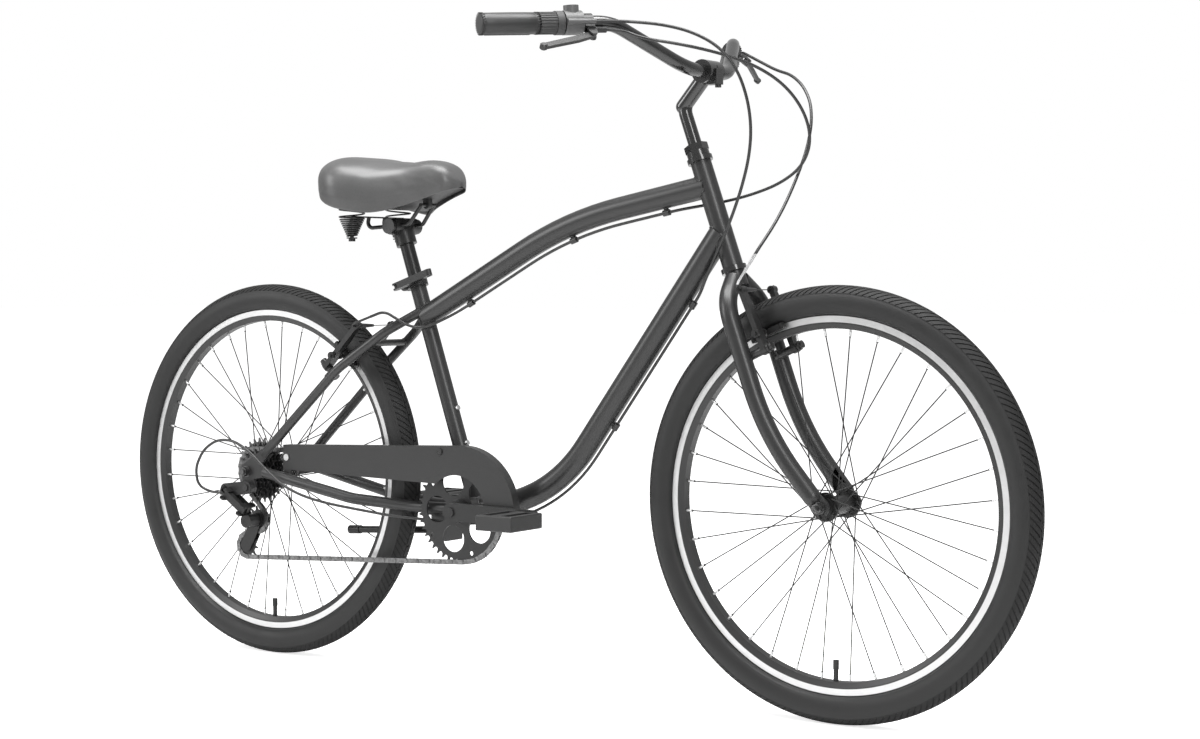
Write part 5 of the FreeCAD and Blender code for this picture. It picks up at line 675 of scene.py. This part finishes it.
def eased(rows, share):
    """Values of a table between its rows, with level tangents at the ends."""
    for index in range(len(rows) - 2):
        if share <= rows[index + 1][0]:
            break
    else:
        index = len(rows) - 2
    before, first, last, after = (rows[max(index - 1, 0)], rows[index], rows[index + 1],
                                  rows[min(index + 2, len(rows) - 1)])
    span = last[0] - first[0]
    part = (share - first[0]) / span
    values = []
    for column in range(1, len(first)):
        lead = (last[column] - before[column]) / (last[0] - before[0]) * span
        trail = (after[column] - first[column]) / (after[0] - first[0]) * span
        square, cube = part * part, part * part * part
        values.append((2 * cube - 3 * square + 1) * first[column] + (cube - 2 * square + part) * lead
                      + (3 * square - 2 * cube) * last[column] + (cube - square) * trail)
    return values


def stepped(rows, share):
    """Values of a table between its rows, in straight steps."""
    for first, last in zip(rows, rows[1:]):
        if share <= last[0]:
            break
    part = (share - first[0]) / (last[0] - first[0])
    return [low + (high - low) * part for low, high in zip(first[1:], last[1:])]


def round_section(ball):
    """Angle of a ball's point round the saddle's length, from the widest line up."""
    return math.atan2(ball.z, abs(ball.y))


def saddle_spot(ball):
    """Where a point of a unit ball, its poles at tail and nose, lies on the saddle."""
    share = (1 + ball.x) / 2
    wide, top, low = eased(SADDLE_ROWS, share)
    ends = min(1.0, min(share / TAIL_ROUND_SHARE, (1 - share) / NOSE_ROUND_SHARE))
    close = math.sqrt(max(0.0, 1 - (1 - ends) ** 2))
    turn = round_section(ball)
    middle = low + (top - low) * WIDEST_SHARE
    if turn >= 0:
        side = math.cos(turn) ** 0.7
        height = middle + (top - middle) * math.sin(turn) ** 0.85 * (0.3 + 0.7 * close)
        dish = math.exp(-(side / DISH_HALF_SHARE) ** 2)
        height -= DISH_SHARE * dish * math.exp(-((share - DISH_AT_SHARE) / DISH_REACH_SHARE) ** 2)
    else:
        side, down, recess = stepped(SADDLE_UNDER, min(-turn / (math.pi / 2), 1.0))
        height = middle - (middle - low) * down * (0.35 + 0.65 * close) + RECESS_SHARE * recess * close
    half = SADDLE_HALF * wide * close * side
    return SADDLE_BACK + Vector((SADDLE_LENGTH * share, math.copysign(half, ball.y), SADDLE_DEPTH * height))


def saddle_cover():
    """Vinyl cover over the pan, its underside marked to be painted near-black, for the black pan and painted
    shade.
    """
    deselect()
    bpy.ops.mesh.primitive_uv_sphere_add(segments=80, ring_count=56, radius=1, location=(0, 0, 0),
                                         rotation=(0, math.pi / 2, 0))
    piece = called("saddle_cover")
    settle(piece)
    under = piece.data.attributes.new("under", "FLOAT", "POINT")
    for index, point in enumerate(piece.data.vertices):
        ball = point.co.normalized()
        # Marked points are painted near-black: the pan's black and painted shade under the saddle.
        under.data[index].value = float(round_section(ball) < -PAN_BLACK_AND_SHADE_FROM_SHARE * math.pi / 2)
        point.co = saddle_spot(ball)
    close_up(piece, 0.0001)
    start = [point.co.copy() for point in piece.data.vertices]
    swell(piece, start)
    modify(piece, "SUBSURF", levels=1, render_levels=1)
    take(piece)
    bpy.ops.object.shade_smooth()
    finished(piece, "saddle_top", "vinyl", saddle_vinyl, "saddle_cushion")
    return piece


def swell(piece, start):
    """Fill the cover with pressure, its underside held by the pan, and cap how far it moves."""
    held = piece.vertex_groups.new(name="held")
    for index, spot in enumerate(start):
        share = (spot.x - SADDLE_BACK.x) / SADDLE_LENGTH
        wide, top, low = eased(SADDLE_ROWS, min(max(share, 0), 1))
        if spot.z < SADDLE_BACK.z + SADDLE_DEPTH * (low + HELD_SHARE * (top - low)):
            held.add([index], 1.0, "REPLACE")
    take(piece)
    cloth = piece.modifiers.new("Cloth", "CLOTH")
    cloth.settings.use_pressure = True
    cloth.settings.uniform_pressure_force = 4.0
    cloth.settings.vertex_group_mass = "held"
    cloth.settings.effector_weights.gravity = 0
    cloth.settings.quality = 4
    cloth.point_cache.frame_start = 1
    cloth.point_cache.frame_end = SWELL_FRAMES
    for step in range(1, SWELL_FRAMES + 1):
        scene.frame_set(step)
    bpy.ops.object.modifier_apply(modifier=cloth.name)
    scene.frame_set(1)
    for point, before in zip(piece.data.vertices, start):
        move = point.co - before
        if move.length > SWELL_LIMIT:
            point.co = before + move.normalized() * SWELL_LIMIT


saddle_cover()


def tube(name, points, radius, sides):
    """Round mesh tube along a smooth line through its control points."""
    curve = bpy.data.curves.new(name, "CURVE")
    curve.dimensions = "3D"
    line = curve.splines.new("NURBS")
    line.points.add(len(points) - 1)
    for knot, spot in zip(line.points, points):
        knot.co = (*spot, 1)
    line.order_u = 3
    line.use_endpoint_u = True
    line.resolution_u = 8
    curve.bevel_depth = radius
    curve.bevel_resolution = sides
    curve.use_fill_caps = True
    piece = bpy.data.objects.new(name, curve)
    scene.collection.objects.link(piece)
    take(piece)
    bpy.ops.object.convert(target="MESH")
    piece = bpy.context.object
    close_up(piece, 0.000001)
    smooth(piece)
    return piece


CLOSE_TURNS, ALL_TURNS = 9, 10.5
CLOSE_PITCH, OPEN_PITCH = 0.0036, 0.013
SPRING_FOOT_R, SPRING_TOP_R = 0.0085, 0.0225
SPRING_WIRE_R = 0.0015


def saddle_spring(side, name):
    """Close-wound cone under one and a half open turns."""
    steps = 16
    points = []
    for step in range(int(ALL_TURNS * steps) + 1):
        turns = step / steps
        share = min(turns / CLOSE_TURNS, 1)
        radius = SPRING_FOOT_R + (SPRING_TOP_R - SPRING_FOOT_R) * share
        height = CLOSE_PITCH * min(turns, CLOSE_TURNS) + OPEN_PITCH * max(turns - CLOSE_TURNS, 0)
        angle = 2 * math.pi * turns + math.pi / 2
        across = SPRING_HALF + radius * math.sin(angle)
        points.append((SPRING_X + radius * math.cos(angle), side * across, SPRING_FOOT + height))
    piece = tube(name, points, SPRING_WIRE_R, 3)
    finished(piece, "seat_post", "dark_steel", spring_black)
    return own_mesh(piece)


springs = [saddle_spring(1, "saddle_spring_left"), saddle_spring(-1, "saddle_spring_right")]
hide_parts("saddle_springs")


# Grips with their lacing


def bar_frame(origin, way):
    """Matrix with the bar's direction as its x axis."""
    along = Vector(way).normalized()
    up = Vector((0, 0, 1))
    across = up.cross(along).normalized()
    up = along.cross(across)
    turn = Matrix((along, across, up)).transposed().to_4x4()
    return Matrix.Translation(Vector(origin)) @ turn


def on_side(spot, side):
    """A place or a way on the left, or mirrored to the right."""
    return (spot[0], side * spot[1], spot[2])


def placed(piece, matrix):
    piece.matrix_world = matrix
    settle(piece)
    return piece


def grip_sleeve(name, origin, way, length):
    """Wrapped sleeve with a rolled edge at both ends, turned about the bar."""
    outline = [(-0.003, 0.0), (-0.003, 0.006), (-0.003, 0.0125), (-0.0026, 0.0148), (-0.0014, 0.0162),
               (0.0006, 0.0169), (0.0034, 0.0169), (0.0046, 0.0164), (0.0058, 0.0169), (0.02, 0.0171),
               (length * 0.5, 0.0172), (length - 0.02, 0.0171), (length - 0.0058, 0.0169),
               (length - 0.0046, 0.0164), (length - 0.0034, 0.0169), (length - 0.0012, 0.0168),
               (length - 0.0003, 0.016), (length, 0.0145), (length, BAR_R), (0.0004, BAR_R), (0.0004, 0.0)]
    deselect()
    bpy.ops.mesh.primitive_plane_add(size=0.01, location=(0, 0, 0))
    piece = called(name)
    whole(piece)
    bpy.ops.mesh.delete(type="ONLY_FACE")
    bpy.ops.mesh.select_all(action="SELECT")
    bpy.ops.mesh.merge(type="CENTER")
    bpy.ops.object.mode_set(mode="OBJECT")
    piece.data.vertices[0].co = (outline[0][0], 0, outline[0][1])
    whole(piece)
    for (first, first_r), (last, last_r) in zip(outline, outline[1:]):
        move = (last - first, 0, last_r - first_r)
        bpy.ops.mesh.extrude_vertices_move(TRANSFORM_OT_translate={"value": move})
    bpy.ops.mesh.select_all(action="SELECT")
    bpy.ops.mesh.spin(steps=48, angle=2 * math.pi, center=(0, 0, 0), axis=(1, 0, 0), use_auto_merge=True)
    bpy.ops.object.mode_set(mode="OBJECT")
    close_up(piece)
    placed(piece, bar_frame(origin, way))
    smooth(piece, 50)
    return piece


STITCH = 0.0062
EDGE_CORD_R, SEAM_CORD_R = 0.00075, 0.0006
EDGE_LACE_R, SEAM_LACE_R = 0.0170, 0.0172


def lacing(name, origin, way, length):
    """Cord stitched over both rolled edges and along the seam underneath."""
    stitches = []
    for middle in (0.0002, length - 0.0012):
        deselect()
        bpy.ops.mesh.primitive_cylinder_add(vertices=8, radius=EDGE_CORD_R, depth=STITCH,
                                            location=(middle, 0, EDGE_LACE_R),
                                            rotation=(0, math.pi / 2, math.radians(24)))
        stitch = called(name + "_stitch")
        settle(stitch)
        modify(stitch, "BEVEL", width=0.0004, segments=2, limit_method="ANGLE")
        whole(stitch)
        bpy.ops.mesh.spin(steps=26, dupli=True, angle=2 * math.pi, center=(0, 0, 0), axis=(1, 0, 0))
        bpy.ops.object.mode_set(mode="OBJECT")
        stitches.append(stitch)
    count = int(length / STITCH)
    for lean in (-1, 1):
        deselect()
        bpy.ops.mesh.primitive_cylinder_add(vertices=8, radius=SEAM_CORD_R, depth=0.0075,
                                            location=(0.008, 0, -SEAM_LACE_R),
                                            rotation=(math.pi / 2, 0, math.radians(35 * lean)))
        stitch = called(name + "_seam")
        settle(stitch)
        modify(stitch, "BEVEL", width=0.0003, segments=2, limit_method="ANGLE")
        modify(stitch, "ARRAY", count=count - 2, use_relative_offset=False, use_constant_offset=True,
               constant_offset_displace=(STITCH, 0, 0))
        stitches.append(stitch)
    piece = joined(stitches, name)
    placed(piece, bar_frame(origin, way))
    smooth(piece, 50)
    return piece


for side, length, name in ((1, 0.130, "left"), (-1, 0.092, "right")):
    origin = on_side(GRIP_END, side)
    inward = on_side(GRIP_WAY, side)
    sleeve = grip_sleeve("grip_sleeve_" + name, origin, inward, length)
    finished(sleeve, "fork", "rubber", grip_vinyl)
    laces = lacing("grip_lacing_" + name, origin, inward, length)
    finished(laces, "fork", "rubber", lace_black)
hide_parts("handlebar_grips")


# Cable loops from the bar to the frame: the routes of the solids


REAR_BRAKE_ROUTE = ((0.2975, -0.206, 1.0856), (0.3124, -0.1828, 1.0871), (0.3498, -0.185, 1.0713),
                    (0.3948, -0.141, 1.0633), (0.4348, -0.088, 1.0513), (0.4738, -0.045, 1.0333),
                    (0.5048, -0.006, 1.0033), (0.5228, 0.024, 0.9613), (0.5248, 0.04, 0.9173),
                    (0.5048, 0.047, 0.8793), (0.4658, 0.047, 0.8533), (0.4158, 0.044, 0.8363),
                    (0.3648, 0.034, 0.8243), (0.3268, 0.012, 0.817), (0.2993, 0.0, 0.8117),
                    (0.2836, 0.0, 0.8087))
SHIFT_ROUTE = ((0.2918, -0.2264, 1.0973), (0.3067, -0.2031, 1.0989), (0.3258, -0.176, 1.0993),
               (0.3638, -0.147, 1.0953), (0.4048, -0.125, 1.0833), (0.4428, -0.109, 1.0603),
               (0.4658, -0.093, 1.0263), (0.4758, -0.078, 0.9833), (0.4748, -0.063, 0.9383),
               (0.4668, -0.055, 0.8933), (0.4498, -0.048, 0.8463), (0.4278, -0.04, 0.8023),
               (0.4038, -0.031, 0.7623), (0.3768, -0.02, 0.7223), (0.3589, -0.012, 0.6971),
               (0.3422, 0.0, 0.6746), (0.3327, 0.0, 0.6618))


def cable_loop(name, route, node):
    """Housing tube along a loop's route, from the bar at one end to the frame at the other."""
    piece = tube(name, route, CABLE_R, 5)
    piece.data.materials.append(housing_black)
    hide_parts(node)
    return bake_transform(piece)


cable_loop("rear_brake_housing", REAR_BRAKE_ROUTE, "rear_brake_loop")
cable_loop("shift_housing", SHIFT_ROUTE, "shift_loop")


# Weld beads round the frame's joints


WELD_R = 0.0016
WELD_LEAN_DEG = 25


def weld_beads(name, node, body, radius):
    """Bead along the inner corners where the tubes meet, drawn from the frame's own edges."""
    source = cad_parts[node]
    piece = source.copy()
    piece.data = source.data.copy()
    piece.parent = None
    scene.collection.objects.link(piece)
    for key in list(piece.keys()):
        del piece[key]
    take(piece)
    called(name)
    close_up_copy(piece)
    corners = inner_corners(piece)
    take(piece)
    bpy.ops.object.mode_set(mode="EDIT")
    bpy.ops.mesh.select_mode(type="EDGE")
    bpy.ops.mesh.select_all(action="DESELECT")
    bpy.ops.object.mode_set(mode="OBJECT")
    for index, edge in enumerate(piece.data.edges):
        edge.select = index in corners
    bpy.ops.object.mode_set(mode="EDIT")
    bpy.ops.mesh.select_all(action="INVERT")
    bpy.ops.mesh.delete(type="EDGE")
    bpy.ops.object.mode_set(mode="OBJECT")
    bpy.ops.object.convert(target="CURVE")
    piece = bpy.context.object
    piece.data.bevel_depth = radius
    piece.data.bevel_resolution = 2
    bpy.ops.object.convert(target="MESH")
    piece = called(name)
    smooth(piece, 60)
    return finished(piece, body, "frame_paint", weld_grey)


def close_up_copy(piece):
    whole(piece)
    bpy.ops.mesh.remove_doubles(threshold=0.00002)
    bpy.ops.object.mode_set(mode="OBJECT")


def inner_corners(piece):
    """Edges between two faces that lean towards each other by more than the weld's angle."""
    mesh = piece.data
    sides = {}
    for face in mesh.polygons:
        for key in face.edge_keys:
            sides.setdefault(key, []).append(face)
    found = set()
    for index, edge in enumerate(mesh.edges):
        faces = sides.get(edge.key, [])
        if len(faces) != 2:
            continue
        first, last = faces
        lean = first.normal.dot(last.center - first.center)
        if lean > 0 and first.normal.angle(last.normal, 0) > math.radians(WELD_LEAN_DEG):
            found.add(index)
    return found


weld_beads("frame_welds", "frame", "frame", WELD_R)


# Floor, light and camera


CAMERA_SPOT = (2.2315, -3.043, 0.697)
CAMERA_DOWN_DEG, CAMERA_TURN_DEG = 2.32, 34.44
CAMERA_LENS = 66


def stage():
    """Pale floor that fades to white away from the bicycle."""
    deselect()
    bpy.ops.mesh.primitive_plane_add(size=80, location=(0, 0, 0))
    floor = called("floor")
    material = bpy.data.materials.new("pale_floor")
    material.use_nodes = True
    tree = material.node_tree
    tree.nodes.clear()
    diffuse = tree.nodes.new("ShaderNodeBsdfDiffuse")
    diffuse.inputs["Color"].default_value = (0.9, 0.9, 0.9, 1)
    glow = tree.nodes.new("ShaderNodeEmission")
    glow.inputs["Color"].default_value = (1, 1, 1, 1)
    seen = tree.nodes.new("ShaderNodeLightPath").outputs
    away = tree.nodes.new("ShaderNodeVectorMath")
    away.operation = "LENGTH"
    tree.links.new(tree.nodes.new("ShaderNodeTexCoord").outputs["Object"], away.inputs[0])
    level = spread(tree, away.outputs["Value"], 1.2, 4.0, 0.74, 1.0)
    clear = sums(tree, "MAXIMUM", seen["Is Camera Ray"], seen["Is Transmission Ray"])
    shine = sums(tree, "MULTIPLY", seen["Is Glossy Ray"], 0.15)
    bright = sums(tree, "MAXIMUM", sums(tree, "MULTIPLY", clear, level), shine)
    tree.links.new(bright, glow.inputs["Strength"])
    both = tree.nodes.new("ShaderNodeAddShader")
    tree.links.new(diffuse.outputs[0], both.inputs[0])
    tree.links.new(glow.outputs[0], both.inputs[1])
    output = tree.nodes.new("ShaderNodeOutputMaterial")
    tree.links.new(both.outputs[0], output.inputs["Surface"])
    floor.data.materials.append(material)


def sky():
    """White to the camera, dimmer as light and in reflections."""
    world = bpy.data.worlds.new("studio")
    scene.world = world
    world.use_nodes = True
    tree = world.node_tree
    background = tree.nodes["Background"]
    background.inputs["Color"].default_value = (1, 1, 1, 1)
    seen = tree.nodes.new("ShaderNodeLightPath").outputs
    clear = sums(tree, "MAXIMUM", seen["Is Camera Ray"], seen["Is Transmission Ray"])
    shine = sums(tree, "MULTIPLY", seen["Is Glossy Ray"], 0.25)
    others = sums(tree, "ADD", shine, 0.25)
    tree.links.new(sums(tree, "MAXIMUM", clear, others), background.inputs["Strength"])


def softbox(name, spot, aim, width, height, power):
    deselect()
    bpy.ops.object.light_add(type="AREA", location=spot)
    lamp = bpy.context.object
    lamp.name = name
    lamp.data.shape = "RECTANGLE"
    lamp.data.size = width
    lamp.data.size_y = height
    lamp.data.energy = power
    way = Vector(aim) - Vector(spot)
    lamp.rotation_euler = way.to_track_quat("-Z", "Y").to_euler()


def camera():
    deselect()
    bpy.ops.object.camera_add(location=CAMERA_SPOT,
                              rotation=(math.radians(90 - CAMERA_DOWN_DEG), 0, math.radians(CAMERA_TURN_DEG)))
    view = bpy.context.object
    view.data.sensor_fit = "HORIZONTAL"
    view.data.sensor_width = 36
    view.data.lens = CAMERA_LENS
    view.data.clip_end = 200
    scene.camera = view


stage()
sky()
softbox("overhead", (0.2, -0.4, 3.2), (0, 0, 0.5), 3.0, 1.6, 170)
softbox("key_right", (3.2, -2.2, 2.4), (0.2, 0, 0.6), 1.0, 2.0, 60)
softbox("fill_left", (-2.8, -2.6, 1.9), (-0.2, 0, 0.5), 1.2, 2.0, 55)
camera()
